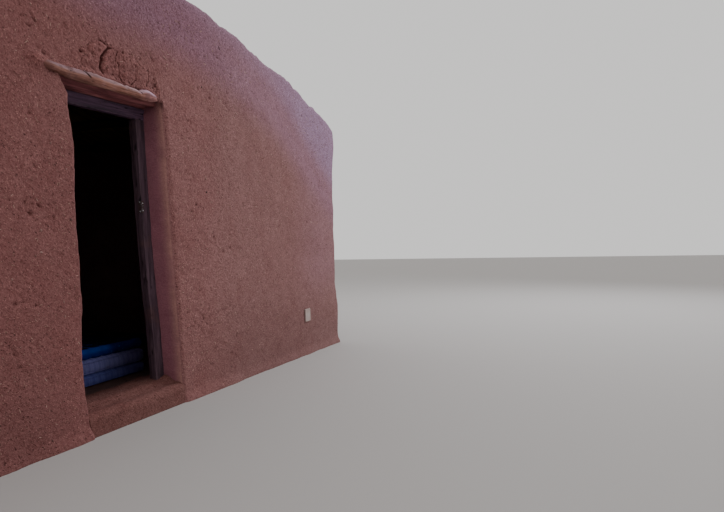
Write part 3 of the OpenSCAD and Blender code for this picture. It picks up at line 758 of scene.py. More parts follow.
def make_roof():
    n = len(outline)
    g = lambda k: np.array([c[k] for c in outline], float)
    x, y, nx, ny, hf = g("x"), g("y"), g("nx"), g("ny"), g("hf")
    z0, z1 = arch(x, R_SEAM), arch(x, R_TOP)
    r = 0.048
    lift = roof_lift(x, y)
    rows, cavs = [], []
    levels = list(np.linspace(0, 1, 15)[:-1]) + [1 + a for a in np.linspace(0, 1, 9)]
    for lv in levels:
        a = max(lv - 1, 0) * math.pi / 2
        v = min(lv, 1)
        z = z0 + (z1 - r - z0) * v + r * math.sin(a)
        ins = r * (1 - math.cos(a))
        P = np.stack([x - nx * ins, y - ny * ins, z], axis=1)
        up = math.sin(a)
        Nn = np.stack([nx * math.cos(a), ny * math.cos(a), np.full(n, up)], axis=1)
        q, cav = displace(P, Nn, hf * (1 - 0.5 * up))
        q[:, 2] += lift * smooth(0, 1, v)
        # broken bits along the skyline
        s = np.stack([x * 1.0, y * 1.0, np.full(n, 0.3)], axis=1)
        q[:, 2] += 0.0055 * perlin(s * 15, 73) * up + (0.0030 + 0.0045 * hf) * perlin(s * 37, 74) * up
        q[:, 2] += 0.0035 * np.abs(perlin(s * 74, 75)) * up * (nx * nx < 0.5)
        rows.append(q)
        cavs.append(cav)
    b = Build()
    idx = b.add(np.concatenate(rows)).reshape(len(rows), n)
    b.grid(idx, wrap=True)
    cav = np.concatenate(cavs)
    # top surface inside the rounded edge
    edge = rows[-1]
    base_edge = np.stack([x - nx * r, y - ny * r], axis=1)
    rng = np.random.default_rng(23)
    gx, gy = np.meshgrid(np.arange(-3.21, 3.22, 0.042), np.arange(-1.99, 2.00, 0.042))
    inner = np.stack([gx.ravel(), gy.ravel()], axis=1) + rng.uniform(-0.008, 0.008, (gx.size, 2))
    inner = inner[(np.abs(inner[:, 0]) < HW - r - 0.035) & (np.abs(inner[:, 1]) < HD - r - 0.05)]
    corner = (np.abs(inner[:, 0]) > HW - 0.10) & (np.abs(inner[:, 1]) > HD - 0.12)
    inner = inner[~corner]
    front = (y < -HD + 1e-6)
    fx = x[front]
    extra = [np.stack([fx[::2], np.full(len(fx[::2]), -HD + r + 0.011)], axis=1),
             np.stack([fx[1::4], np.full(len(fx[1::4]), -HD + r + 0.026)], axis=1)]
    extra = np.concatenate(extra)
    extra = extra[np.abs(extra[:, 0]) < HW - 0.09]
    pts2 = np.concatenate([inner, extra])
    P = np.stack([pts2[:, 0], pts2[:, 1], arch(pts2[:, 0], R_TOP)], axis=1)
    arch_n = np.stack([P[:, 0] / R_TOP, np.zeros(len(P)), (P[:, 2] - ARCH_Z) / R_TOP], axis=1)
    q, c2 = displace(P, arch_n, np.zeros(len(P)))
    q[:, 2] += roof_lift(P[:, 0], P[:, 1])
    i2 = b.add(q)
    allv = np.concatenate([base_edge, pts2])
    ids = np.concatenate([idx[-1], i2])
    v2, _, f2, _, _, _ = geometry.delaunay_2d_cdt([Vector((float(a), float(c))) for a, c in allv], [],
                                                 [list(range(n))], 1, 1e-7)
    tri = np.array([f for f in f2 if len(f) == 3])
    if len(v2) != len(allv):
        print("roof: points merged", len(v2), len(allv))
    flat = np.array([[v.x, v.y] for v in v2])
    e1, e2 = flat[tri[:, 1]] - flat[tri[:, 0]], flat[tri[:, 2]] - flat[tri[:, 0]]
    ccw = e1[:, 0] * e2[:, 1] - e1[:, 1] * e2[:, 0] > 0
    tri = np.where(ccw[:, None], tri, tri[:, ::-1])
    b.t.append(ids[tri])
    cav = np.concatenate([cav, c2])
    # underside, with a recess over the reeds
    gx, gy = np.meshgrid(np.arange(-3.12, 3.13, 0.08), np.arange(-1.92, 1.93, 0.08))
    P2 = np.stack([gx.ravel(), gy.ravel()], axis=1)
    rec = smooth(3.16, 3.12, np.abs(P2[:, 0])) * smooth(1.94, 1.90, np.abs(P2[:, 1]))
    z = np.where(rec > 0.5, arch(P2[:, 0], 9.24), arch(P2[:, 0], R_SEAM)) + 0.0005
    i3 = b.add(np.stack([P2[:, 0], P2[:, 1], z], axis=1))
    allv = np.concatenate([np.stack([x, y], axis=1), P2])
    ids = np.concatenate([idx[0], i3])
    v2, _, f2, _, _, _ = geometry.delaunay_2d_cdt([Vector((float(a), float(c))) for a, c in allv], [],
                                                 [list(range(n))], 1, 1e-7)
    tri = np.array([f for f in f2 if len(f) == 3])
    flat = np.array([[v.x, v.y] for v in v2])
    e1, e2 = flat[tri[:, 1]] - flat[tri[:, 0]], flat[tri[:, 2]] - flat[tri[:, 0]]
    ccw = e1[:, 0] * e2[:, 1] - e1[:, 1] * e2[:, 0] > 0
    tri = np.where(ccw[:, None], tri[:, ::-1], tri)
    b.t.append(ids[tri])
    cav = np.concatenate([cav, np.zeros(len(P2))])
    v, t, qd = b.arrays()
    ob = mesh_object("roof_coat", v, t, qd)
    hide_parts("roof_mud")
    set_attr(ob, "cav", cav)
    set_attr(ob, "rim", np.zeros(len(v)))
    SKIN["roof_coat"] = (ob, v, t[:len(t) - len(tri)], qd)
    return ob


roof = make_roof()


def share_normals():
    """Gives the mud pieces one set of normals, so that no seam shows between them."""
    names = list(SKIN)
    pts = np.concatenate([SKIN[n][1] for n in names])
    key = np.round(pts * 20000).astype(np.int64)
    _, inv = np.unique(key, axis=0, return_inverse=True)
    inv = inv.ravel()
    acc = np.zeros((inv.max() + 1, 3))
    off = 0
    for n in names:
        ob, v, t, q = SKIN[n]
        tri = np.concatenate([t, q[:, [0, 1, 2]], q[:, [0, 2, 3]]]) + off
        a, b, c = pts[tri[:, 0]], pts[tri[:, 1]], pts[tri[:, 2]]
        nn = np.cross(b - a, c - a)
        for k in range(3):
            np.add.at(acc, inv[tri[:, k]], nn)
        off += len(v)
    ln = np.linalg.norm(acc, axis=1)
    acc /= np.maximum(ln, 1e-12)[:, None]
    off = 0
    for n in names:
        ob, v, t, q = SKIN[n]
        nv = acc[inv[off:off + len(v)]]
        bad = np.linalg.norm(nv, axis=1) < 0.5
        nv[bad] = (0, 0, 1)
        ob.data.normals_split_custom_set_from_vertices(nv.astype(float).tolist())
        off += len(v)


share_normals()


# ---------------------------------------------------------------- materials
class Mat:
    """A node material, built by short calls."""

    def __init__(self, name, rough=0.9):
        self.m = bpy.data.materials.new(name)
        self.m.use_nodes = True
        self.t = self.m.node_tree
        self.out = self.t.nodes["Material Output"]
        self.b = self.t.nodes["Principled BSDF"]
        self.b.inputs["Roughness"].default_value = rough
        self.tc = self.t.nodes.new("ShaderNodeTexCoord")
        self.obj = self.tc.outputs["Object"]

    def node(self, kind, **k):
        n = self.t.nodes.new("ShaderNode" + kind)
        for a, v in k.items():
            setattr(n, a, v)
        return n

    def put(self, sock, v):
        if isinstance(v, bpy.types.NodeSocket):
            self.t.links.new(v, sock)
        else:
            sock.default_value = v

    def math(self, op, a, b=0.0, clamp=False):
        n = self.node("Math", operation=op, use_clamp=clamp)
        self.put(n.inputs[0], a)
        self.put(n.inputs[1], b)
        return n.outputs[0]

    def map(self, rot=(0, 0, 0), scale=(1, 1, 1), loc=(0, 0, 0), vec=None):
        n = self.node("Mapping")
        self.put(n.inputs["Vector"], vec or self.obj)
        n.inputs["Rotation"].default_value = rot
        n.inputs["Scale"].default_value = scale
        n.inputs["Location"].default_value = loc
        return n.outputs[0]

    def noise(self, scale, detail=3.0, rough=0.55, vec=None, dist=0.0):
        n = self.node("TexNoise")
        self.put(n.inputs["Vector"], vec or self.obj)
        n.inputs["Scale"].default_value = scale
        n.inputs["Detail"].default_value = detail
        n.inputs["Roughness"].default_value = rough
        n.inputs["Distortion"].default_value = dist
        return n.outputs["Fac"]

    def voronoi(self, scale, vec=None, feature="F1", rand=1.0, out="Distance"):
        n = self.node("TexVoronoi", feature=feature)
        self.put(n.inputs["Vector"], vec or self.obj)
        n.inputs["Scale"].default_value = scale
        n.inputs["Randomness"].default_value = rand
        return n.outputs[out]

    def ramp(self, fac, stops, interp="LINEAR"):
        n = self.node("ValToRGB")
        n.color_ramp.interpolation = interp
        el = n.color_ramp.elements
        while len(el) < len(stops):
            el.new(0.5)
        for e, (p, c) in zip(el, stops):
            e.position = p
            e.color = (c, c, c, 1) if isinstance(c, (int, float)) else (*c, 1)
        self.put(n.inputs[0], fac)
        return n.outputs[0]

    def range(self, v, a, b, c=0.0, d=1.0):
        n = self.node("MapRange", interpolation_type="SMOOTHSTEP")
        self.put(n.inputs["Value"], v)
        for k, x in zip(("From Min", "From Max", "To Min", "To Max"), (a, b, c, d)):
            n.inputs[k].default_value = x
        return n.outputs["Result"]

    def mix(self, fac, a, b, blend="MIX"):
        n = self.node("Mix", data_type="RGBA", blend_type=blend)
        self.put(n.inputs[0], fac)
        self.put(n.inputs[6], a if isinstance(a, bpy.types.NodeSocket) else (*a, 1))
        self.put(n.inputs[7], b if isinstance(b, bpy.types.NodeSocket) else (*b, 1))
        return n.outputs[2]

    def bump(self, height, dist, strength=1.0, normal=None):
        n = self.node("Bump")
        n.inputs["Strength"].default_value = strength
        n.inputs["Distance"].default_value = dist
        self.put(n.inputs["Height"], height)
        if normal is not None:
            self.put(n.inputs["Normal"], normal)
        return n.outputs[0]

    def attr(self, name):
        n = self.node("Attribute", attribute_name=name)
        return n.outputs["Fac"]

    def finish(self, colour=None, rough=None, normal=None):
        if colour is not None:
            self.put(self.b.inputs["Base Color"], colour)
        if rough is not None:
            self.put(self.b.inputs["Roughness"], rough)
        if normal is not None:
            self.put(self.b.inputs["Normal"], normal)
        return self.m


def lin(r, g, b):
    """Linear colour of an sRGB one in 0 to 255."""
    f = lambda v: (v / 255 / 12.92) if v <= 10 else ((v / 255 + 0.055) / 1.055) ** 2.4
    return (f(r), f(g), f(b))


# ---------------------------------------------------------------- timber
def make_facing_log():
    """The pale, crooked, debarked log that stands out of the wall over the door."""
    n, k = 330, 72
    s = np.linspace(0, 1, n)
    x = -0.612 + (0.3535 + 0.612) * (1 - (1 - s) ** 1.04)
    x[-14:] = 0.3535 - 0.016 * (1 - np.sin(np.linspace(0, 1, 14) * math.pi / 2))
    top = log_top(x) + 0.004
    low = np.interp(x, [-0.612, -0.57, -0.50, -0.44, -0.36, 0.2, 0.32, 0.354], [2.122, 2.114, 2.103, 2.094, 2.084, 2.082, 2.083, 2.086]) \
        + 0.0014 * perlin(np.stack([x * 9, x * 0, x * 0], 1), 81)
    r = (top - low) / 2
    zc = (top + low) / 2
    yc = -2.132 + r + 0.030 * smooth(-0.50, -0.612, x)
    a = np.linspace(0, 2 * math.pi, k, endpoint=False)
    A, Xg = np.meshgrid(a, x)
    ca, sa = np.cos(A), np.sin(A)
    # slightly faceted: an upper face turned to the sky and a front face
    face = 1 + 0.055 * np.cos(2 * (A - math.radians(215))) - 0.018 * np.cos(5 * A + 0.6)
    P = np.stack([Xg.ravel() * 1.0, (ca * 0.05).ravel(), (sa * 0.05).ravel()], 1)
    rel = 0.0022 * perlin(P * [6, 22, 22], 82) + 0.0016 * perlin(P * [9, 60, 60], 83) + 0.0010 * perlin(P * [16, 140, 140], 84) \
        + 0.0005 * perlin(P * [40, 300, 300], 85)
    cav = (0.0016 * perlin(P * [9, 60, 60], 83) + 0.0010 * perlin(P * [16, 140, 140], 84)).reshape(A.shape)
    rel = rel.reshape(A.shape)
    # knots, bites and splits, given by their place on the front: (x, z, rx, rz, height)
    R = r[:, None] * np.ones_like(A)
    Zs = zc[:, None] + R * sa
    front = smooth(0.15, 0.5, -ca)
    for kx, kz, rx, rz, h in ((-0.38, 2.122, 0.014, 0.007, -0.006), (-0.372, 2.128, 0.026, 0.012, 0.0035), (-0.215, 2.100, 0.012, 0.005, -0.004),
                              (0.100, 2.111, 0.012, 0.006, -0.004), (0.104, 2.113, 0.024, 0.012, 0.0030), (-0.455, 2.135, 0.020, 0.008, -0.002),
                              (0.235, 2.118, 0.020, 0.008, 0.0022), (0.165, 2.098, 0.012, 0.005, -0.002), (-0.06, 2.128, 0.030, 0.006, -0.0018),
                              (0.288, 2.112, 0.008, 0.005, -0.0022), (-0.14, 2.135, 0.03, 0.007, 0.0018)):
        g = np.exp(-((Xg - kx) / rx) ** 2 - ((Zs - kz) / rz) ** 2) * front
        rel += h * g
        cav += 0.8 * h * g
    # the slanting split on the upper face, its right lip standing up
    for (xa, za), (xb, zb), w, d in (((-0.292, 2.160), (-0.236, 2.116), 0.0032, 0.0095), ((0.180, 2.140), (0.205, 2.108), 0.0030, 0.0045),
                                     ((0.050, 2.140), (0.078, 2.118), 0.0026, 0.0035), ((-0.40, 2.148), (-0.36, 2.128), 0.0026, 0.0030)):
        ux, uz = xb - xa, zb - za
        ln = math.hypot(ux, uz)
        t = ((Xg - xa) * ux + (Zs - za) * uz) / ln ** 2
        dist = ((Xg - xa) * -uz + (Zs - za) * ux) / ln
        on = smooth(-0.15, 0.1, t) * (1 - smooth(0.9, 1.15, t)) * front
        g = np.exp(-(dist / w) ** 2) * on
        rel -= d * g
        cav -= d * g
        rel += 0.35 * d * np.exp(-((dist - 1.9 * w) / (1.6 * w)) ** 2) * on
    # long drying checks along the lower face
    rng = np.random.default_rng(82)
    for _ in range(34):
        x0, a0 = rng.uniform(-0.52, 0.33), rng.uniform(2.2, 4.6)
        lx, wa = rng.uniform(0.03, 0.12), rng.uniform(0.02, 0.04)
        da = (A - a0 - 0.5 * (Xg - x0) * rng.uniform(-1, 1))
        g = np.exp(-(da / wa) ** 2 - ((Xg - x0) / lx) ** 4)
        dep = rng.uniform(0.0006, 0.0018)
        rel -= dep * g
        cav -= dep * g
    # round right end, broken left end
    e = np.clip((x - 0.3375) / 0.016, 0, 1)
    round_ = np.sqrt(np.maximum(1 - e ** 2, 0.02))
    rr = (R * face + rel * smooth(0, 0.02, R)) * round_[:, None]
    pts = np.stack([Xg, yc[:, None] + rr * ca, zc[:, None] + rr * sa], axis=-1)
    pts[:, :, 0] += (0.004 * perlin(np.stack([P[:, 1] * 60, P[:, 2] * 60, P[:, 0] * 0], 1), 86).reshape(A.shape)) * smooth(0.31, 0.34, Xg)
    b = Build()
    b.loft(pts, cap=True, bulge=0.0012)
    v, t, q = b.arrays()
    ob = mesh_object("facing_log", v, t, q)
    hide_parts("lintel_log_1")
    set_attr(ob, "cav", np.concatenate([cav.ravel(), [0, 0]]))
    # which way each point faces up, for the log's painted light: mauve-grey above, orange-tan below
    set_attr(ob, "up", np.concatenate([smooth(-0.12, 0.34, sa + 0.12 * perlin(P * [9, 20, 20], 88).reshape(A.shape)).ravel(), [0, 0]]))
    return ob


def round_log(name, node, p0, p1, r, seed, n=120, k=28, taper=0.06, crook=0.004, relief=0.0012, knots=4):
    """A crooked, slightly tapered round log from p0 to p1."""
    p0, p1 = np.array(p0, float), np.array(p1, float)
    d = p1 - p0
    ln = np.linalg.norm(d)
    d /= ln
    up = np.array([0, 0, 1.0])
    side = np.cross(d, up)
    s = np.linspace(0, 1, n)
    ends = np.minimum(s, 1 - s) * ln
    a = np.linspace(0, 2 * math.pi, k, endpoint=False)
    A, S = np.meshgrid(a, s * ln)
    ca, sa = np.cos(A), np.sin(A)
    P = np.stack([S.ravel(), (ca * r).ravel(), (sa * r).ravel()], 1) + seed * 3.1
    rel = relief * (perlin(P * [5, 24, 24], seed) + 0.7 * perlin(P * [10, 60, 60], seed + 1) + 0.5 * perlin(P * [18, 150, 150], seed + 2))
    rel = rel.reshape(A.shape)
    cav = rel - relief * perlin(P * [5, 24, 24], seed).reshape(A.shape)
    rng = np.random.default_rng(seed)
    for _ in range(knots):
        s0, a0 = rng.uniform(0.05, 0.95) * ln, rng.uniform(0, 2 * math.pi)
        da = (A - a0 + math.pi) % (2 * math.pi) - math.pi
        g = np.exp(-((S - s0) / 0.024) ** 2 - (da * r / 0.013) ** 2)
        core = np.exp(-((S - s0) / 0.008) ** 2 - (da * r / 0.006) ** 2)
        rel += 0.0035 * g - 0.0035 * core
        cav -= 0.003 * core
    for _ in range(knots * 4):
        s0, a0, lx = rng.uniform(0, ln), rng.uniform(0, 2 * math.pi), rng.uniform(0.04, 0.22)
        da = (A - a0 + math.pi) % (2 * math.pi) - math.pi
        g = np.exp(-(da / 0.07) ** 2 - ((S - s0) / lx) ** 4)
        rel -= 0.0015 * g
        cav -= 0.0015 * g
    rad = r * (1 - taper * S / ln) + rel
    cut = np.sqrt(np.clip(1 - (1 - np.clip(ends / 0.006, 0, 1)) ** 2, 0.55, 1))
    rad = rad * cut[:, None]
    q = np.stack([s * 2.3, s * 0, s * 0 + seed], 1)
    off1, off2 = crook * perlin(q, seed + 5), crook * perlin(q + 9, seed + 6)
    pts = p0 + d * S[..., None] + side * (rad * ca + off1[:, None])[..., None] + up * (rad * sa + off2[:, None])[..., None]
    pts += d * (0.004 * perlin(np.stack([ca.ravel() * 2, sa.ravel() * 2, s.repeat(k) * 0 + seed], 1), seed + 7).reshape(A.shape)
                * np.exp(-(ends[:, None] / 0.01) ** 2))[..., None]
    b = Build()
    # side x up = -d for this frame, so the rings run the other way round
    idx = b.add(pts.reshape(-1, 3)).reshape(n, k)
    flipped = np.dot(np.cross(side, up), d) < 0
    ids = idx[:, ::-1] if flipped else idx
    b.grid(ids, wrap=True)
    b.fan(ids[0], pts[0].mean(0) - d * 0.0008, flip=True)
    b.fan(ids[-1], pts[-1].mean(0) + d * 0.0008)
    v, t, qd = b.arrays()
    ob = mesh_object(name, v, t, qd)
    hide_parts(node)
    set_attr(ob, "cav", np.concatenate([cav.ravel(), [0, 0]]))
    return ob


LOGS = [make_facing_log()]
for i, (r0, dz) in enumerate(((0.0435, 0.0), (0.0438, -0.0005), (0.0436, 0.001), (0.043, 0.0)), start=2):
    y0 = -2.088 + (i - 1) * 0.091
    LOGS.append(round_log(f"soffit_log_{i}", f"lintel_log_{i}", (-0.740, y0, 2.1215 + dz), (0.820, y0, 2.1215 + dz), r0, 90 + 10 * i,
                          n=110, k=26, taper=0.02, crook=0.0016, relief=0.0009, knots=3))
POLES = []
for i in range(12):
    x0 = -2.75 + 0.5 * i
    zc = ARCH_Z + math.sqrt(9.1635 ** 2 - x0 ** 2)
    flip = 1 if i % 2 else -1
    POLES.append(round_log(f"pole_{i + 1:02d}", f"roof_pole_{i + 1:02d}", (x0, -1.94 * flip, zc - 0.002), (x0, 1.94 * flip, zc - 0.002),
                           0.0475, 200 + 8 * i, n=44, k=12, taper=0.14, crook=0.007, relief=0.0022, knots=6))


# ---------------------------------------------------------------- reeds laid across the poles
def make_reeds():
    rng = np.random.default_rng(31)
    b = Build()
    hue = []
    y = -1.888
    row = 0
    while y < 1.888:
        d = rng.uniform(0.011, 0.020)
        y0 = y + d / 2
        x_a, x_b = -3.10 + rng.uniform(0, 0.10), 3.10 - rng.uniform(0, 0.10)
        m, k = 15, 5
        xs = np.linspace(x_a, x_b, m)
        rad = 9.2165 + d / 2 + rng.uniform(0, 0.002)
        wob = 0.0035 * perlin(np.stack([xs * 0.9, xs * 0 + row, xs * 0], 1), 33)
        dd = d / 2 * (1 - 0.25 * np.abs(np.linspace(-1, 1, m) * rng.uniform(0.4, 1))) * (1 + 0.06 * np.cos(xs * 21 + row))
        ang = np.linspace(0, 2 * math.pi, k, endpoint=False) + rng.uniform(0, 1)
        nx, nz = xs / rad, np.sqrt(rad ** 2 - xs ** 2) / rad
        rr = rad + 0.0008 * np.sin(xs * 7 + row)
        pts = np.zeros((m, k, 3))
        for j, a in enumerate(ang):
            pts[:, j, 0] = rr * nx + dd * math.sin(a) * nx
            pts[:, j, 1] = y0 + wob + dd * math.cos(a)
            pts[:, j, 2] = ARCH_Z + rr * nz + dd * math.sin(a) * nz
        b.loft(pts, cap=True)
        hue.append(np.full(m * k + 2, rng.random()))
        y += d * rng.uniform(0.97, 1.02)
        row += 1
    v, t, q = b.arrays()
    ob = mesh_object("reed_mat", v, t, q)
    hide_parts("reed_layer")
    set_attr(ob, "hue", np.concatenate(hue))
    return ob


REEDS = make_reeds()


# ---------------------------------------------------------------- door frame
def rounded_outline(corners, step=0.0035):
    """Closed outline with rounded corners: corners are (u, v, radius), counter-clockwise."""
    out = []
    n = len(corners)
    for i in range(n):
        p = np.array(corners[i][:2])
        r = corners[i][2]
        a = np.array(corners[i - 1][:2]) - p
        c = np.array(corners[(i + 1) % n][:2]) - p
        a, c = a / np.linalg.norm(a), c / np.linalg.norm(c)
        p0, p1 = p + a * r, p + c * r
        for t in np.linspace(0, 1, 5):
            out.append((1 - t) ** 2 * p0 + 2 * t * (1 - t) * p + t * t * p1)
    dense = []
    for i in range(len(out)):
        a, c = out[i], out[(i + 1) % len(out)]
        m = max(1, int(round(np.linalg.norm(c - a) / step)))
        dense += [a + (c - a) * j / m for j in range(m)]
    dense = np.array(dense)
    keep = np.linalg.norm(dense - np.roll(dense, 1, axis=0), axis=1) > 1e-6
    return dense[keep]


def frame_bar(name, node, corners, place, s0, s1, seed, n=150, wear=1.0):
    """place(u, v, s) puts the section at s along the bar."""
    ring = rounded_outline(corners)
    nxt, prv = np.roll(ring, -1, axis=0), np.roll(ring, 1, axis=0)
    tan = nxt - prv
    tan /= np.linalg.norm(tan, axis=1)[:, None]
    nrm = np.stack([tan[:, 1], -tan[:, 0]], 1)
    curve = np.linalg.norm(nxt + prv - 2 * ring, axis=1)
    arris = np.clip(curve / 0.0012, 0, 1)
    for _ in range(3):
        arris = (arris + np.roll(arris, 1) + np.roll(arris, -1)) / 2.6
    arris = np.clip(arris, 0, 1)
    s = np.linspace(s0, s1, n)
    U = ring[None, :, 0] * np.ones((n, 1))
    V = ring[None, :, 1] * np.ones((n, 1))
    S = s[:, None] * np.ones((1, len(ring)))
    P = np.stack([U.ravel(), V.ravel(), S.ravel()], 1) + seed * 1.7
    grain = (0.0009 * perlin(P * [90, 90, 4.5], seed) + 0.0006 * perlin(P * [210, 210, 9], seed + 1)).reshape(U.shape)
    waves = (0.0014 * perlin(P * [14, 14, 7], seed + 2)).reshape(U.shape)
    chips = np.clip(perlin(P * [30, 30, 26], seed + 3).reshape(U.shape) - 0.18, 0, 1) * 0.010 * arris[None, :] * wear
    dents = np.clip(perlin(P * [38, 38, 16], seed + 4).reshape(U.shape) - 0.42, 0, 1) * 0.006
    h = grain + waves - chips - dents
    cav = grain - 0.7 * chips - dents
    rng = np.random.default_rng(seed)
    for _ in range(26):                                  # drying checks along the grain
        i0, j0 = rng.integers(0, len(ring)), rng.uniform(s0, s1)
        ln, w = rng.uniform(0.05, 0.25), 1.1
        dj = np.minimum((np.arange(len(ring)) - i0) % len(ring), (i0 - np.arange(len(ring))) % len(ring))
        g = np.exp(-(dj[None, :] / w) ** 2 - ((S - j0) / ln) ** 4)
        h = h - 0.0012 * g
        cav = cav - 0.0012 * g
    uu, vv = U + nrm[None, :, 0] * h, V + nrm[None, :, 1] * h
    pts = place(uu, vv, S)
    b = Build()
    area = 0.5 * np.sum(ring[:, 0] * nxt[:, 1] - nxt[:, 0] * ring[:, 1])
    e0 = place(np.array([[0.0, 1.0, 0.0]]), np.array([[0.0, 0.0, 1.0]]), np.array([[0.0, 0.0, 0.0]]))[0]
    ez = place(np.array([[0.0]]), np.array([[0.0]]), np.array([[1.0]]))[0, 0] - e0[0]
    hand = np.dot(np.cross(e0[1] - e0[0], e0[2] - e0[0]), ez)
    idx = b.add(pts.reshape(-1, 3)).reshape(n, len(ring))
    ids = idx if hand * area > 0 else idx[:, ::-1]
    b.grid(ids, wrap=True)
    tri = geometry.tessellate_polygon([[Vector((p[0], p[1], 0)) for p in ring]])
    lo, hi = [], []
    for a, c, d in tri:
        pa, pc, pd = ring[a], ring[c], ring[d]
        up = ((pc[0] - pa[0]) * (pd[1] - pa[1]) - (pc[1] - pa[1]) * (pd[0] - pa[0])) > 0
        f = (a, c, d) if up == (hand > 0) else (a, d, c)
        hi.append([idx[-1][j] for j in f])
        lo.append([idx[0][j] for j in f[::-1]])
    b.t.append(np.array(lo))
    b.t.append(np.array(hi))
    v, t, q = b.arrays()
    ob = mesh_object(name, v, t, q)
    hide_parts(node)
    set_attr(ob, "cav", cav.ravel())
    set_attr(ob, "arris", np.tile(arris, n))
    return ob


FR0, FR1 = -1.925, -1.853
R1, R2 = 0.0045, 0.0022
upright = lambda u, v, s: np.stack([u, v, s], axis=-1)
leaning = lambda u, v, s: np.stack([u + jamb_lean(s), v, s], axis=-1)
head = lambda u, v, s: np.stack([s, u, v], axis=-1)       # section in y and z, along x
FRAME = [
    frame_bar("jamb_right", "frame_right_jamb",
              [(0.385, FR0, R1), (0.4695, FR0, R2), (0.4695, FR1, R2), (0.399, FR1, R2), (0.399, -1.889, R2), (0.385, -1.889, R2)],
              leaning, 0.1605, 1.9975, 300, n=150),
    frame_bar("jamb_left", "frame_left_jamb",
              [(-0.3895, FR0, R2), (-0.305, FR0, R1), (-0.305, -1.889, R2), (-0.319, -1.889, R2), (-0.319, FR1, R2), (-0.3895, FR1, R2)],
              upright, 0.1605, 1.9975, 320, n=60),
    frame_bar("head_bar", "frame_head",
              [(FR0, 1.998, R1), (-1.889, 1.998, R2), (-1.889, 2.012, R2), (FR1, 2.012, R2), (FR1, 2.0735, R2), (FR0, 2.0735, R2)],
              head, -0.3892, 0.4692, 340, n=90),
]


# nails in the frame
def small_dome(b, centre, axis, r, h, k=12, rows=4, slot_cut=None):
    """A low domed head, seated a little into the surface."""
    axis = np.array(axis, float)
    axis /= np.linalg.norm(axis)
    ref = np.array([0, 0, 1.0]) if abs(axis[2]) < 0.9 else np.array([1.0, 0, 0])
    u = np.cross(ref, axis)
    u /= np.linalg.norm(u)
    w = np.cross(axis, u)
    ang = np.linspace(0, 2 * math.pi, k, endpoint=False)
    rings = []
    for i in range(rows + 1):
        t = i / rows
        rad, up = (r, -0.0015 if i == 0 else 0) if i == 0 else (r * math.cos(t * math.pi / 2 * 0.92), h * math.sin(t * math.pi / 2 * 0.92))
        rings.append([np.array(centre) + axis * up + rad * (math.cos(a) * u + math.sin(a) * w) for a in ang])
    rings = np.array(rings)
    m = rings.shape[0]
    idx = b.add(rings.reshape(-1, 3)).reshape(m, k)
    b.grid(idx, wrap=True)
    b.fan(idx[0], np.array(centre) - axis * 0.0015, flip=True)
    b.fan(idx[-1], np.array(centre) + axis * (h if slot_cut is None else h - slot_cut))
    return b


def make_nails():
    b = Build()
    rng = np.random.default_rng(44)
    for x in (-0.34, 0.05, 0.43):
        small_dome(b, (x + rng.uniform(-.01, .01), FR0 - 0.0002, 2.036 + rng.uniform(-.01, .01)), (0, -1, 0), 0.0038, 0.0014)
    for z in (0.42, 1.02, 1.62, 1.93):
        small_dome(b, (0.444 + float(jamb_lean(z)) + rng.uniform(-.01, .008), FR0 - 0.0002, z), (0, -1, 0), 0.0038, 0.0014)
        small_dome(b, (-0.364 + rng.uniform(-.01, .008), FR0 - 0.0002, z), (0, -1, 0), 0.0038, 0.0014)
    v, t, q = b.arrays()
    return mesh_object("frame_nails", v, t, q)


NAILS = make_nails()


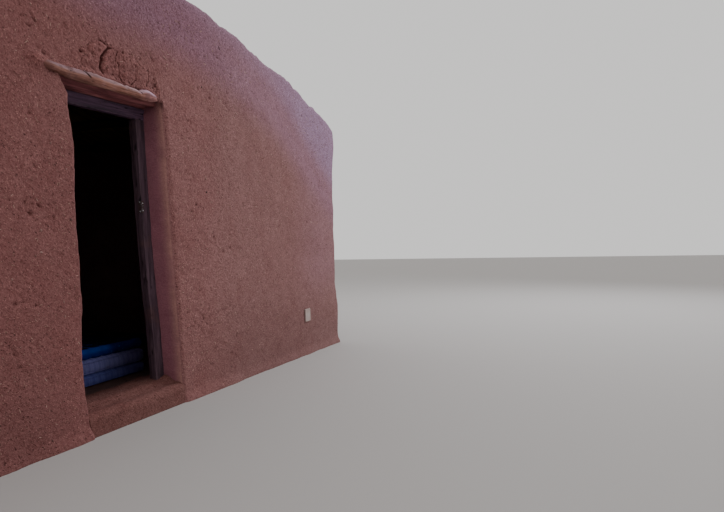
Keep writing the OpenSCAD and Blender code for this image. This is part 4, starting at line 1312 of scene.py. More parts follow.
# ---------------------------------------------------------------- latch keep
def make_keep():
    """A strip folded round the jamb's front arris, with its screws."""
    x0, x1, y0, y1 = 0.3825, 0.4065, -1.9275, -1.8995
    th, z0, z1 = 0.0020, 1.365, 1.447
    out, ins = [], []
    # from the end of the front leg, round the bend, to the end of the side leg
    path = [(x1, y0, 0, -1)] + [(x, y0, 0, -1) for x in np.linspace(x1 - 0.002, x0 + 0.004, 8)]
    for a in np.linspace(-90, -180, 6)[1:-1]:
        ca, sa = math.cos(math.radians(a)), math.sin(math.radians(a))
        path.append((x0 + 0.003 + 0.003 * ca, y0 + 0.003 + 0.003 * sa, ca, sa))
    path += [(x0, y, -1, 0) for y in np.linspace(y0 + 0.004, y1 - 0.002, 9)] + [(x0, y1, -1, 0)]
    path = np.array(path)
    n = len(path)
    zs = np.concatenate([[z0, z0 + 0.0008, z0 + 0.0022], np.linspace(z0 + 0.005, z1 - 0.005, 14), [z1 - 0.0022, z1 - 0.0008, z1]])
    rows_o, rows_i = [], []
    for z in zs:
        e = min(z - z0, z1 - z)
        inset = 0.004 * (1 - math.sqrt(max(0, 1 - (1 - min(e / 0.004, 1)) ** 2)))
        p = path.copy()
        p[:, 0] = np.where(p[:, 3] < -0.99, np.minimum(p[:, 0], x1 - inset), p[:, 0])
        p[:, 1] = np.where(p[:, 2] < -0.99, np.minimum(p[:, 1], y1 - inset), p[:, 1])
        bend = 0.0005 * perlin(np.stack([p[:, 0] * 60, p[:, 1] * 60, np.full(n, z * 30)], 1), 51)
        q = np.stack([p[:, 0] + p[:, 2] * bend, p[:, 1] + p[:, 3] * bend, np.full(n, z)], 1)
        rows_o.append(q)
        rows_i.append(q - np.stack([p[:, 2], p[:, 3], np.zeros(n)], 1) * th)
    b = Build()
    rings = np.array([np.concatenate([o, i[::-1]]) for o, i in zip(rows_o, rows_i)])
    m, k, _ = rings.shape
    idx = b.add(rings.reshape(-1, 3)).reshape(m, k)
    ring = rings[0]
    area = 0.5 * np.sum(ring[:, 0] * np.roll(ring[:, 1], -1) - np.roll(ring[:, 0], -1) * ring[:, 1])
    ids = idx if area > 0 else idx[:, ::-1]
    b.grid(ids, wrap=True)
    cap_q = np.array([[idx[0][i], idx[0][i + 1], idx[0][k - 2 - i], idx[0][k - 1 - i]] for i in range(n - 1)])
    cap_p = np.array([[idx[-1][i], idx[-1][i + 1], idx[-1][k - 2 - i], idx[-1][k - 1 - i]] for i in range(n - 1)])
    b.q.append(cap_q[:, ::-1] if area > 0 else cap_q)
    b.q.append(cap_p if area > 0 else cap_p[:, ::-1])
    v, t, q = b.arrays()
    v[:, 0] += jamb_lean(v[:, 2])
    ob = mesh_object("keep_plate", v, t, q, smooth_faces=False)
    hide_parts("latch_keep")
    s = Build()
    for x, z in ((0.3955, 1.431), (0.3950, 1.3805)):
        small_dome(s, (x, y0 - 0.0001, z), (0, -1, 0), 0.0042, 0.0018, k=16, rows=5, slot_cut=0.0007)
    for y, z in ((-1.9125, 1.374), (-1.9130, 1.438)):
        small_dome(s, (x0 - 0.0001, y, z), (-1, 0, 0), 0.0042, 0.0018, k=16, rows=5, slot_cut=0.0007)
    v, t, q = s.arrays()
    v[:, 0] += jamb_lean(v[:, 2])
    scr = mesh_object("keep_screws", v, t, q)
    return ob, scr


KEEP, SCREWS = make_keep()


# ---------------------------------------------------------------- cover plate
def make_cover():
    cx, cz, w, h, r = 2.515, 0.397, 0.110, 0.130, 0.008
    tilt = math.radians(0.8)

    def outline(inset, rr):
        pts = []
        hw, hh = w / 2 - inset, h / 2 - inset
        rr = max(min(rr, hw, hh), 0.0002)
        for sx, sz, a0 in ((1, 1, 0), (-1, 1, 90), (-1, -1, 180), (1, -1, 270)):
            for a in np.linspace(a0, a0 + 90, 8):
                a = math.radians(a)
                pts.append((sx * (hw - rr) + rr * math.cos(a), sz * (hh - rr) + rr * math.sin(a)))
        return np.array(pts)

    levels = [(0.0045, -2.0955, 0.006), (0.0045, -2.1020, 0.006), (0.0040, -2.1025, 0.006), (0.0, -2.1025, 0.008), (0.0, -2.1032, 0.008),
              (0.0, -2.1085, 0.008), (0.0003, -2.1108, 0.008), (0.0010, -2.1126, 0.0075), (0.0022, -2.1136, 0.007), (0.0040, -2.11395, 0.006),
              (0.0075, -2.1140, 0.005), (0.0085, -2.1139, 0.005), (0.0095, -2.1134, 0.005), (0.0105, -2.1131, 0.005), (0.016, -2.1131, 0.004),
              (0.030, -2.1130, 0.004), (0.044, -2.1130, 0.004), (0.052, -2.1130, 0.002)]
    rings = []
    for ins, y, rr in levels:
        o = outline(ins, rr)
        px = o[:, 0] * math.cos(tilt) - o[:, 1] * math.sin(tilt)
        pz = o[:, 0] * math.sin(tilt) + o[:, 1] * math.cos(tilt)
        rings.append(np.stack([cx + px * 0.985, np.full(len(o), y), cz + pz * 0.985], 1))
    rings = np.array(rings)
    b = Build()
    m, k, _ = rings.shape
    idx = b.add(rings.reshape(-1, 3)).reshape(m, k)
    # outline runs counter-clockwise in x-z; going towards -y that is right-handed
    b.grid(idx, wrap=True)
    b.fan(idx[0], rings[0].mean(0), flip=True)
    b.fan(idx[-1], rings[-1].mean(0))
    v, t, q = b.arrays()
    ob = mesh_object("cover_plate", v, t, q)
    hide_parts("wall_box_cover")
    return ob


COVER = make_cover()


# ---------------------------------------------------------------- sill and floor
def make_sill():
    """The hump of packed mud that fills the doorway's foot and laps up the jambs."""
    x0, x1 = -0.402, 0.508
    ny = 150
    prof = []
    for t in np.linspace(0, 1, 26)[:-1]:
        prof.append((-2.100 + 0.004 * t, 0.0 + 0.098 * t))
    for t in np.linspace(0, 1, 18)[:-1]:
        a = t * math.pi / 2
        prof.append((-2.096 + 0.052 * (1 - math.cos(a)), 0.098 + 0.050 * math.sin(a)))
    yb = np.linspace(-2.044, -1.690, 64)
    for y in yb:
        prof.append((y, 0.148 + 0.030 * float(smooth(-2.03, -1.93, y)) - 0.026 * float(smooth(-1.83, -1.72, y))))
    prof.append((-1.6815, 0.140))
    for z in np.linspace(0.125, 0.0, 7):
        prof.append((-1.6808, z))
    for y in np.linspace(-1.70, -2.08, 12):
        prof.append((y, 0.0))
    prof = np.array(prof)
    k = len(prof)
    xs = np.linspace(x0, x1, 118)
    n = len(xs)
    Y = prof[None, :, 0] * np.ones((n, 1))
    Z = prof[None, :, 1] * np.ones((n, 1))
    X = xs[:, None] * np.ones((1, k))
    lap = np.exp(-((X - x0) / 0.05) ** 2) + np.exp(-((X - x1) / 0.05) ** 2)
    top = smooth(0.09, 0.14, Z) * smooth(-2.10, -2.04, Y)
    Z = Z + top * (0.016 * lap * smooth(-2.05, -1.95, Y) - 0.006 * np.exp(-((X - 0.03) / 0.2) ** 2))
    P = np.stack([X.ravel(), Y.ravel(), Z.ravel()], 1)
    low = (Z > 0.004).astype(float)
    rel = (0.0050 * perlin(P * 6, 401) + 0.0026 * perlin(P * 15, 402) + 0.0014 * perlin(P * 36, 403) + 0.0009 * perlin(P * 80, 404)).reshape(X.shape)
    cav = (0.0014 * perlin(P * 36, 403) + 0.0009 * perlin(P * 80, 404)).reshape(X.shape)
    fr = smooth(0.02, 0.10, Z) * (1 - smooth(-2.09, -2.05, Y))
    mid = smooth(0.0, 0.12, Z)
    Yd = Y - fr * rel * 0.9 - 0.004 * fr
    Zd = Z + rel * mid * smooth(-2.10, -2.05, Y)
    Zd = np.where(Z <= 0.0001, 0.0, np.maximum(Zd, 0.0005))
    Yd = np.maximum(Yd, -2.14)
    pts = np.stack([X, Yd, Zd], -1)
    b = Build()
    idx = b.add(pts.reshape(-1, 3)).reshape(n, k)
    # profile runs from the front foot up and back: clockwise seen from +x, so turned round
    b.grid(idx[:, ::-1], wrap=True)
    for row, flip in ((0, True), (-1, False)):
        tri = geometry.tessellate_polygon([[Vector((p[1], p[2], 0)) for p in pts[row]]])
        fs = []
        for a, c, d in tri:
            pa, pc, pd = pts[row][a], pts[row][c], pts[row][d]
            up = ((pc[1] - pa[1]) * (pd[2] - pa[2]) - (pc[2] - pa[2]) * (pd[1] - pa[1])) > 0
            fs.append((a, c, d) if up != flip else (a, d, c))
        b.t.append(idx[row][np.array(fs)])
    v, t, q = b.arrays()
    ob = mesh_object("sill_mud", v, t, q)
    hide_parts("door_sill")
    set_attr(ob, "cav", cav.ravel())
    set_attr(ob, "rim", np.zeros(cav.size))
    set_attr(ob, "patch", np.zeros(cav.size))
    return ob


SILL = make_sill()


def make_floor():
    xs, ys = np.linspace(-2.899, 2.899, 88), np.linspace(-1.679, 1.679, 52)
    X, Y = np.meshgrid(xs, ys)
    P = np.stack([X.ravel(), Y.ravel(), np.zeros(X.size)], 1)
    h = 0.0035 * perlin(P * 1.6, 411) + 0.0018 * perlin(P * 5, 412) + 0.0012 * perlin(P * 13, 413) - 0.002
    top = np.stack([X.ravel(), Y.ravel(), FLOOR_Z + np.minimum(h, 0.0004)], 1)
    bot = np.stack([X.ravel(), Y.ravel(), np.zeros(X.size)], 1)
    b = Build()
    it = b.add(top).reshape(X.shape)
    ib = b.add(bot).reshape(X.shape)
    b.grid(it)
    b.grid(ib[:, ::-1])
    rim = lambda a: np.concatenate([a[0], a[1:, -1], a[-1, -2::-1], a[-2:0:-1, 0]])
    b.grid(np.stack([rim(ib), rim(it)]), wrap=True)
    v, t, q = b.arrays()
    ob = mesh_object("floor_earth", v, t, q)
    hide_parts("earth_floor")
    set_attr(ob, "cav", np.concatenate([h, h * 0]))
    return ob


FLOOR = make_floor()


# ---------------------------------------------------------------- bedding
def soft_box(x0, x1, y0, y1, z0, z1, step, r, nz):
    """Closed grid of a rounded box: (points (i, j, k) folded into one surface)."""
    nx, ny = int(round((x1 - x0) / step)), int(round((y1 - y0) / step))
    key, verts, quads = {}, [], []

    def vid(i, j, k):
        if (i, j, k) not in key:
            u, v, w = i / nx * 2 - 1, j / ny * 2 - 1, k / nz * 2 - 1
            hx, hy, hz = (x1 - x0) / 2, (y1 - y0) / 2, (z1 - z0) / 2
            p = np.array([u * hx, v * hy, w * hz])
            core = np.array([hx - r, hy - r, max(hz - r, 0.001)])
            c = np.clip(p, -core, core)
            d = p - c
            ln = np.linalg.norm(d)
            if ln > 1e-9:
                far = np.abs(d) / r
                scale = r * far.max() / ln
                p = c + d * scale
            key[(i, j, k)] = len(verts)
            verts.append(p + [(x0 + x1) / 2, (y0 + y1) / 2, (z0 + z1) / 2])
        return key[(i, j, k)]

    for i in range(nx):
        for j in range(ny):
            quads.append((vid(i, j, nz), vid(i + 1, j, nz), vid(i + 1, j + 1, nz), vid(i, j + 1, nz)))
            quads.append((vid(i, j, 0), vid(i, j + 1, 0), vid(i + 1, j + 1, 0), vid(i + 1, j, 0)))
    for i in range(nx):
        for k in range(nz):
            quads.append((vid(i, 0, k), vid(i + 1, 0, k), vid(i + 1, 0, k + 1), vid(i, 0, k + 1)))
            quads.append((vid(i, ny, k), vid(i, ny, k + 1), vid(i + 1, ny, k + 1), vid(i + 1, ny, k)))
    for j in range(ny):
        for k in range(nz):
            quads.append((vid(0, j, k), vid(0, j, k + 1), vid(0, j + 1, k + 1), vid(0, j + 1, k)))
            quads.append((vid(nx, j, k), vid(nx, j + 1, k), vid(nx, j + 1, k + 1), vid(nx, j, k + 1)))
    return np.array(verts), np.array(quads)


def puff(ob, pin, pressure=4.0, cap=0.02, frames=20, shrink=0.0, stiff=8.0):
    """Cloth with pressure on ob; gives back its result as points, no point moved further than cap."""
    me = ob.data
    start = np.zeros(len(me.vertices) * 3)
    me.vertices.foreach_get("co", start)
    start = start.reshape(-1, 3)
    g = ob.vertex_groups.new(name="pin")
    for w in np.unique(np.round(pin[pin > 0.01], 2)):
        g.add([int(i) for i in np.nonzero(np.abs(pin - w) < 0.006)[0]], float(w), "REPLACE")
    mod = ob.modifiers.new("cloth", "CLOTH")
    s = mod.settings
    s.quality = 5
    s.mass = 0.3
    s.tension_stiffness = s.compression_stiffness = stiff
    s.shear_stiffness = 4
    s.bending_stiffness = 0.4
    s.use_pressure = True
    s.uniform_pressure_force = pressure
    s.shrink_min = shrink
    s.vertex_group_mass = "pin"
    s.effector_weights.gravity = 0
    mod.collision_settings.use_collision = False
    mod.point_cache.frame_start = 1
    mod.point_cache.frame_end = frames
    sc = bpy.context.scene
    for f in range(1, frames + 1):
        sc.frame_set(f)
    ev = ob.evaluated_get(bpy.context.evaluated_depsgraph_get())
    res = np.zeros(len(me.vertices) * 3)
    ev.data.vertices.foreach_get("co", res)
    res = res.reshape(-1, 3)
    d = res - start
    ln = np.linalg.norm(d, axis=1)
    d *= np.minimum(1, cap / np.maximum(ln, 1e-9))[:, None]
    ob.modifiers.remove(mod)
    ob.vertex_groups.remove(g)
    sc.frame_set(1)
    return start + d


def subdivided(name, v, q, slot, groups=None):
    """One Catmull-Clark step of a closed quad mesh, applied."""
    tmp = mesh_object(name + "_tmp", v, quads=q)
    m = tmp.modifiers.new("s", "SUBSURF")
    m.levels = m.render_levels = 1
    ev = tmp.evaluated_get(bpy.context.evaluated_depsgraph_get())
    me = ev.to_mesh()
    n = len(me.vertices)
    out = np.zeros(n * 3)
    me.vertices.foreach_get("co", out)
    loops = np.zeros(len(me.loops), np.int32)
    me.loops.foreach_get("vertex_index", loops)
    ev.to_mesh_clear()
    bpy.data.objects.remove(tmp)
    return out.reshape(-1, 3), loops.reshape(-1, 4)


def piping(b, path, r, k=6):
    """A round cord along a closed path."""
    path = np.asarray(path, float)
    nxt, prv = np.roll(path, -1, axis=0), np.roll(path, 1, axis=0)
    t = nxt - prv
    t /= np.linalg.norm(t, axis=1)[:, None]
    up = np.array([0, 0, 1.0])
    side = np.cross(t, up)
    side /= np.linalg.norm(side, axis=1)[:, None]
    up2 = np.cross(side, t)
    ang = np.linspace(0, 2 * math.pi, k, endpoint=False)
    rings = path[:, None, :] + r * (np.cos(ang)[None, :, None] * side[:, None, :] + np.sin(ang)[None, :, None] * up2[:, None, :])
    m = len(path)
    idx = b.add(rings.reshape(-1, 3)).reshape(m, k)
    idx = np.concatenate([idx, idx[:1]])
    b.grid(idx[:, ::-1], wrap=True)


def make_mat(name, node, box_, seed, tufts, droop):
    x0, x1, y0, y1, z0, z1 = box_
    inset = 0.010
    v, q = soft_box(x0 + inset, x1 - inset, y0 + 0.005, y1 - inset, z0 + 0.0015, z1 - 0.007, 0.024, 0.024, 5)
    ob = mesh_object(name, v, quads=q)
    zt, zb = z1 - 0.007, z0 + 0.0015
    top = v[:, 2] > zt - 0.004
    pin = np.where(v[:, 2] < zb + 0.002, 1.0, 0.0)
    tx = np.linspace(x0 + 0.16, x1 - 0.16, tufts[0])
    ty = np.linspace(y0 + 0.15, y1 - 0.15, tufts[1])
    centres = [(a + (0.5 * (tx[1] - tx[0]) if j % 2 else 0), c) for j, c in enumerate(ty) for a in tx]
    centres = [(a, c) for a, c in centres if a < x1 - 0.08]
    marks = []
    for a, c in centres:
        d = np.hypot(v[:, 0] - a, v[:, 1] - c) + (~top) * 9
        i = int(np.argmin(d))
        marks.append(v[i, :2].copy())
        v[i, 2] -= 0.017
        pin[i] = 1.0
    ob.data.vertices.foreach_set("co", v.astype(np.float32).ravel())
    ob.data.update()
    res = puff(ob, pin, pressure=4.0, cap=0.018)
    bpy.data.objects.remove(ob)
    # pulled edges, drooping front and creases of the cover
    res[:, 0] = np.clip(res[:, 0], x0 - 0.012, x1 + 0.012)
    res[:, 1] = np.clip(res[:, 1], y0 - 0.012, y1 + 0.012)
    low = smooth(zb + 0.012, zb, res[:, 2])
    res[:, 2] = np.maximum(res[:, 2], z0 + 0.0005)
    v2, q2 = subdivided(name, res, q, "mat_cloth")
    c = np.array([(x0 + x1) / 2, (y0 + y1) / 2])
    side = smooth(y0 + 0.04, y0 + 0.005, v2[:, 1]) + smooth(y1 - 0.04, y1 - 0.005, v2[:, 1])
    P = v2 * 1.0 + seed
    crease = 0.0035 * perlin(np.stack([P[:, 0] * 17, P[:, 1] * 0 + seed, P[:, 2] * 4], 1), seed) \
        + 0.0020 * perlin(np.stack([P[:, 0] * 41, P[:, 1] * 0 + seed, P[:, 2] * 9], 1), seed + 1)
    v2[:, 1] += np.where(v2[:, 1] < c[1], -1, 1) * side * crease
    over = smooth(z1 - 0.02, z1 - 0.004, v2[:, 2])
    v2[:, 2] += over * (0.0028 * perlin(P * [7, 7, 1], seed + 2) + 0.0018 * perlin(P * [17, 19, 1], seed + 3) - droop * smooth(0.25, 0.0, v2[:, 1] - y0))
    v2[:, 2] = np.maximum(v2[:, 2], z0 + 0.0004)
    for a, e in marks:
        d = np.hypot(v2[:, 0] - a, v2[:, 1] - e)
        v2[:, 2] -= 0.005 * np.exp(-(d / 0.014) ** 2) * (v2[:, 2] > z1 - 0.05)
    b = Build()
    b.add(v2)
    b.q.append(q2)
    body = len(v2)
    # welted seams round the top and bottom edges
    for zz, off in ((z1 - 0.018, 0.006), (z0 + 0.014, 0.006)):
        pts = []
        n = 150
        for t in np.linspace(0, 2 * math.pi, n, endpoint=False):
            ct, st = math.cos(t), math.sin(t)
            ax, ay = abs(ct) ** 0.16 * np.sign(ct), abs(st) ** 0.16 * np.sign(st)
            pts.append((c[0] + ax * (x1 - x0) / 2, c[1] + ay * (y1 - y0) / 2, zz))
        pts = np.array(pts)
        # onto the mat's own side
        ring = []
        near = v2[np.abs(v2[:, 2] - zz) < 0.014]
        for p in pts:
            w = np.argmin(np.sum((near[:, :2] - p[:2]) ** 2, axis=1))
            ring.append((near[w, 0], near[w, 1], zz))
        ring = np.array(ring)
        keep = np.linalg.norm(ring - np.roll(ring, 1, axis=0), axis=1) > 0.004
        ring = ring[keep]
        for _ in range(2):
            ring = (ring * 2 + np.roll(ring, 1, axis=0) + np.roll(ring, -1, axis=0)) / 4
        piping(b, ring, 0.0040)
    for a, e in marks:                                   # tufting buttons
        d = np.hypot(v2[:, 0] - a, v2[:, 1] - e) + (v2[:, 2] < z1 - 0.05) * 9
        i = int(np.argmin(d))
        small_dome(b, (v2[i, 0], v2[i, 1], v2[i, 2] - 0.0005), (0, 0, 1), 0.007, 0.004, k=10, rows=3)
    vv, t, qq = b.arrays()
    ob = mesh_object(name, vv, t, qq)
    thin(ob, 0.42)
    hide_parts(node)
    return ob


MAT_LOW = make_mat("mat_lower", "lower_mat", (-0.82, 1.06, -1.303, -0.40, 0.0805, 0.1685), 501, (6, 3), 0.001)
MAT_MID = make_mat("mat_middle", "middle_mat", (-0.82, 1.06, -1.301, -0.40, 0.1705, 0.281), 521, (6, 3), 0.001)


def make_quilt():
    """A wadded quilt folded once, its fold towards the door."""
    x0, x1, yf, yb, z0, z1 = -0.80, 1.04, -1.295, -0.415, 0.2835, 0.377
    th = (z1 - z0 - 0.006) / 2
    # the quilt's middle line in y-z: from the back on the lower layer, round the fold, to the back on the upper
    zc0, zc1 = z0 + th / 2, z1 - th / 2
    rf = (zc1 - zc0) / 2
    line = [(y, zc0) for y in np.arange(yb, yf + th / 2 + rf, -0.022)]
    for a in np.linspace(-90, -270, 9):
        line.append((yf + th / 2 + rf + rf * math.cos(math.radians(a)), (zc0 + zc1) / 2 + rf * math.sin(math.radians(a))))
    line += [(y, zc1) for y in np.arange(yf + th / 2 + rf + 0.022, yb + 0.02, 0.022)]
    line = np.array(line)
    d = np.gradient(line, axis=0)
    d /= np.linalg.norm(d, axis=1)[:, None]
    nrm = np.stack([d[:, 1], -d[:, 0]], 1)               # to the outside of the fold
    run = np.concatenate([[0], np.cumsum(np.linalg.norm(np.diff(line, axis=0), axis=1))])
    m = len(line)
    xs = np.linspace(x0, x1, 84)
    n = len(xs)
    half = th / 2 - 0.0015
    end_v = np.sqrt(np.clip(1 - (1 - np.clip(np.minimum(run, run[-1] - run) / 0.018, 0, 1)) ** 2, 0.04, 1))
    ex = np.minimum(xs - x0, x1 - xs)
    end_u = np.sqrt(np.clip(1 - (1 - np.clip(ex / 0.018, 0, 1)) ** 2, 0.04, 1))
    H = half * end_u[:, None] * end_v[None, :]
    wob = 0.004 * perlin(np.stack([xs * 2.1, xs * 0, xs * 0], 1), 541)
    base = np.zeros((n, m, 3))
    base[:, :, 0] = xs[:, None]
    base[:, :, 1] = line[None, :, 0] + wob[:, None] * smooth(-0.9, -1.25, line[None, :, 0])
    base[:, :, 2] = line[None, :, 1]
    off = np.stack([np.zeros(m), nrm[:, 0], nrm[:, 1]], 1)
    outer_ = base + off[None] * H[..., None]
    inner_ = base - off[None] * H[..., None]
    v = np.concatenate([outer_.reshape(-1, 3), inner_.reshape(-1, 3)])
    io = np.arange(n * m).reshape(n, m)
    ii = io + n * m
    quads = []
    g = lambda I: np.stack([I[:-1, :-1], I[:-1, 1:], I[1:, 1:], I[1:, :-1]], -1).reshape(-1, 4)
    qo, qi = g(io), g(ii)[:, ::-1]
    rim_o = np.concatenate([io[0], io[1:, -1], io[-1, -2::-1], io[-2:0:-1, 0]])
    rim_i = np.concatenate([ii[0], ii[1:, -1], ii[-1, -2::-1], ii[-2:0:-1, 0]])
    qr = np.stack([rim_o, rim_i, np.roll(rim_i, -1), np.roll(rim_o, -1)], 1)
    # the outer side must face out: check one quad
    a, c_, e = v[qo[0][0]], v[qo[0][1]], v[qo[0][3]]
    nn = np.cross(c_ - a, e - a)
    if np.dot(nn, off[0]) < 0:
        qo, qi = qo[:, ::-1], qi[:, ::-1]
    else:
        qr = qr[:, ::-1]
    quads = np.concatenate([qo, qi, qr])
    ob = mesh_object("quilt_blue", v, quads=quads)
    # stitched rows stay where they are; the wadding swells between them
    U, R_ = np.meshgrid(xs, run, indexing="ij")
    sx = np.abs((U - x0 - 0.02) / 0.115 - np.round((U - x0 - 0.02) / 0.115)) * 0.115
    sv = np.abs(R_ / 0.145 - np.round(R_ / 0.145)) * 0.145
    stitch = np.exp(-(np.minimum(sx, sv) / 0.010) ** 2)
    Hs = H * (1 - 0.62 * stitch)
    v = np.concatenate([(base + off[None] * Hs[..., None]).reshape(-1, 3), (base - off[None] * Hs[..., None]).reshape(-1, 3)])
    ob.data.vertices.foreach_set("co", v.astype(np.float32).ravel())
    ob.data.update()
    pin = np.concatenate([(stitch > 0.6).ravel(), (stitch > 0.6).ravel()]) * 1.0
    res = puff(ob, pin, pressure=3.5, cap=0.010)
    bpy.data.objects.remove(ob)
    v2, q2 = subdivided("quilt_blue", res, quads, "quilt_cloth")
    P = v2 * 1.0
    v2[:, 1] += (0.0030 * perlin(P * [11, 3, 9], 551) + 0.0020 * perlin(P * [26, 5, 14], 552)) * smooth(-1.15, -1.27, P[:, 1])
    v2[:, 2] += 0.0018 * perlin(P * [19, 16, 3], 553) * smooth(z0 + 0.02, z1, v2[:, 2])
    v2[:, 2] = np.clip(v2[:, 2], z0 - 0.001, None)
    ob = mesh_object("quilt_blue", v2, quads=q2)
    thin(ob, 0.32)
    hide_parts("blue_quilt")
    return ob


QUILT = make_quilt()


# ---------------------------------------------------------------- chopped straw and grit in the coat
def surface(x, z, hf):
    """Points of the front's relief at x and z, with its normals."""
    P = np.stack([x, np.full(len(x), -HD), z], 1)
    Nn = np.tile([0.0, -1.0, 0.0], (len(x), 1))
    h = np.array(hf) if np.ndim(hf) else np.full(len(x), hf)
    p0, _ = displace(P, Nn, h)
    e = 0.006
    px, _ = displace(P + [e, 0, 0], Nn, h)
    pz, _ = displace(P + [0, 0, e], Nn, h)
    n = np.cross(px - p0, pz - p0)
    n /= np.linalg.norm(n, axis=1)[:, None]
    return p0, n


def make_straw(name, n, xr, seed, size, lean=1.0):
    rng = np.random.default_rng(seed)
    x = xr[1] - (xr[1] - xr[0]) * rng.random(n) ** lean if lean > 1 else rng.uniform(xr[0], xr[1], n)
    z = rng.uniform(0.03, 1, n) * (arch(x, R_TOP) - 0.07)
    gone = ((x > LEFT_E - 0.03) & (x < RIGHT_E + 0.035) & (z < 2.15)) | (np.hypot(x - 2.515, z - 0.397) < 0.11) \
        | ((x > -0.63) & (x < 0.40) & (z > 2.06) & (z < 2.17))
    # straw lies thicker in drifts
    drift = perlin(np.stack([x * 1.7, x * 0, z * 1.7], 1), seed + 3) + 0.5 * perlin(np.stack([x * 5, x * 0, z * 5], 1), seed + 4)
    keep = ~gone & (rng.random(n) < 0.55 + 0.45 * np.clip(drift * 1.6, -1, 1))
    x, z = x[keep], z[keep]
    n = len(x)
    hf = np.array([front_hf(a) for a in x])
    c, nn = surface(x, z, hf)
    ang = np.where(rng.random(n) < 0.55, math.radians(-38) + rng.normal(0, 0.35, n), rng.uniform(-math.pi, math.pi, n))
    u0 = np.stack([np.cos(ang), np.zeros(n), np.sin(ang)], 1)
    u = u0 - nn * np.sum(u0 * nn, 1)[:, None]
    u /= np.linalg.norm(u, axis=1)[:, None]
    w = np.cross(nn, u)
    ln = rng.gamma(3.0, size[0] / 3.0, n).clip(0.006, 0.034)
    wd = rng.uniform(size[1], size[2], n)
    tilt = rng.normal(0, 0.10, n)
    bend = rng.normal(0, 0.10, n)
    # a four-sided splint of three sections
    pts = np.zeros((n, 3, 4, 3))
    for k, s in enumerate((-0.5, 0.0, 0.5)):
        mid = c + u * (ln * s)[:, None] + nn * (0.0004 + tilt * ln * s * 0.5)[:, None] + w * (bend * ln * (abs(s) - 0.25))[:, None]
        q = 1.0 if k == 1 else 0.55
        for j, (a, b_) in enumerate(((1, 0), (0, 1), (-1, 0), (0, -1))):
            pts[:, k, j] = mid + w * (wd * 0.5 * a * q)[:, None] + nn * (wd * 0.26 * b_ * q)[:, None]
    v = pts.reshape(-1, 3)
    base = (np.arange(n) * 12)[:, None, None]
    side = []
    for k in (0, 1):
        for j in range(4):
            j2 = (j + 1) % 4
            side.append((k * 4 + j, k * 4 + j2, (k + 1) * 4 + j2, (k + 1) * 4 + j))
    side += [(3, 2, 1, 0), (8, 9, 10, 11)]
    q = (np.array(side)[None] + base).reshape(-1, 4)
    a, b_, d = v[q[0][0]], v[q[0][1]], v[q[0][3]]
    if np.dot(np.cross(b_ - a, d - a), (a + b_) / 2 - pts[0].reshape(-1, 3).mean(0)) < 0:
        q = q[:, ::-1]
    ob = mesh_object(name, v, quads=q, smooth_faces=False)
    set_attr(ob, "hue", np.repeat(rng.random(n), 12))
    return ob


STRAW = [make_straw("straw_left", 3600, (-3.2, LEFT_E), 601, (0.011, 0.0020, 0.0038), lean=1.5),
         make_straw("straw_middle", 1100, (LEFT_E, RIGHT_E), 602, (0.011, 0.0020, 0.0038)),
         make_straw("straw_right", 5200, (RIGHT_E, 3.2), 603, (0.015, 0.0024, 0.0050))]


def make_grit():
    """Small stones left in the mud."""
    rng = np.random.default_rng(611)
    n = 420
    x = rng.uniform(-3.2, 3.2, n)
    z = rng.uniform(0.03, 2.3, n) ** 1.0
    gone = ((x > LEFT_E - 0.04) & (x < RIGHT_E + 0.045) & (z < 2.20)) | (np.hypot(x - 2.515, z - 0.397) < 0.11) | ((x > -0.63) & (x < 0.40) & (z > 2.06) & (z < 2.19)) \
        | (z > arch(x, R_TOP) - 0.1)
    x, z = x[~gone], z[~gone]
    n = len(x)
    c, nn = surface(x, z, np.array([front_hf(a) for a in x]))
    # an octahedron cut once: 18 points, 32 faces
    base = []
    for a in (-1, 0, 1):
        for b_ in (-1, 0, 1):
            for d in (-1, 0, 1):
                if 0 < abs(a) + abs(b_) + abs(d) < 3:
                    p = np.array([a, b_, d], float)
                    base.append(p / np.linalg.norm(p))
    base = np.array(base)
    from_hull = []
    idx = range(len(base))
    for i in idx:
        for j in idx:
            for k in idx:
                if i < j and i < k and j != k:
                    nrm = np.cross(base[j] - base[i], base[k] - base[i])
                    ln = np.linalg.norm(nrm)
                    if ln < 1e-6:
                        continue
                    nrm /= ln
                    off = nrm @ base[i]
                    if off > 0 and np.all(base @ nrm <= off + 1e-9):
                        from_hull.append((i, j, k))
    tris = np.array(from_hull)
    vs, ts, hue = [], [], []
    for i in range(n):
        r = min(max(rng.gamma(2.5, 0.0016), 0.0022), 0.009)
        s = r * rng.uniform(0.7, 1.3, 3)
        th = rng.uniform(0, math.pi)
        rot = np.array([[math.cos(th), 0, math.sin(th)], [0, 1, 0], [-math.sin(th), 0, math.cos(th)]])
        p = (base * s * rng.uniform(0.85, 1.12, (len(base), 1))) @ rot.T + c[i] - nn[i] * r * 0.25
        ts.append(tris + i * len(base))
        vs.append(p)
        hue.append(np.full(len(base), rng.random()))
    ob = mesh_object("grit", np.concatenate(vs), np.concatenate(ts), smooth_faces=False)
    set_attr(ob, "hue", np.concatenate(hue))
    return ob


GRIT = make_grit()


# ---------------------------------------------------------------- finishes
def tinted(m, c, k):
    return m.mix(1.0, c, k, "MULTIPLY")


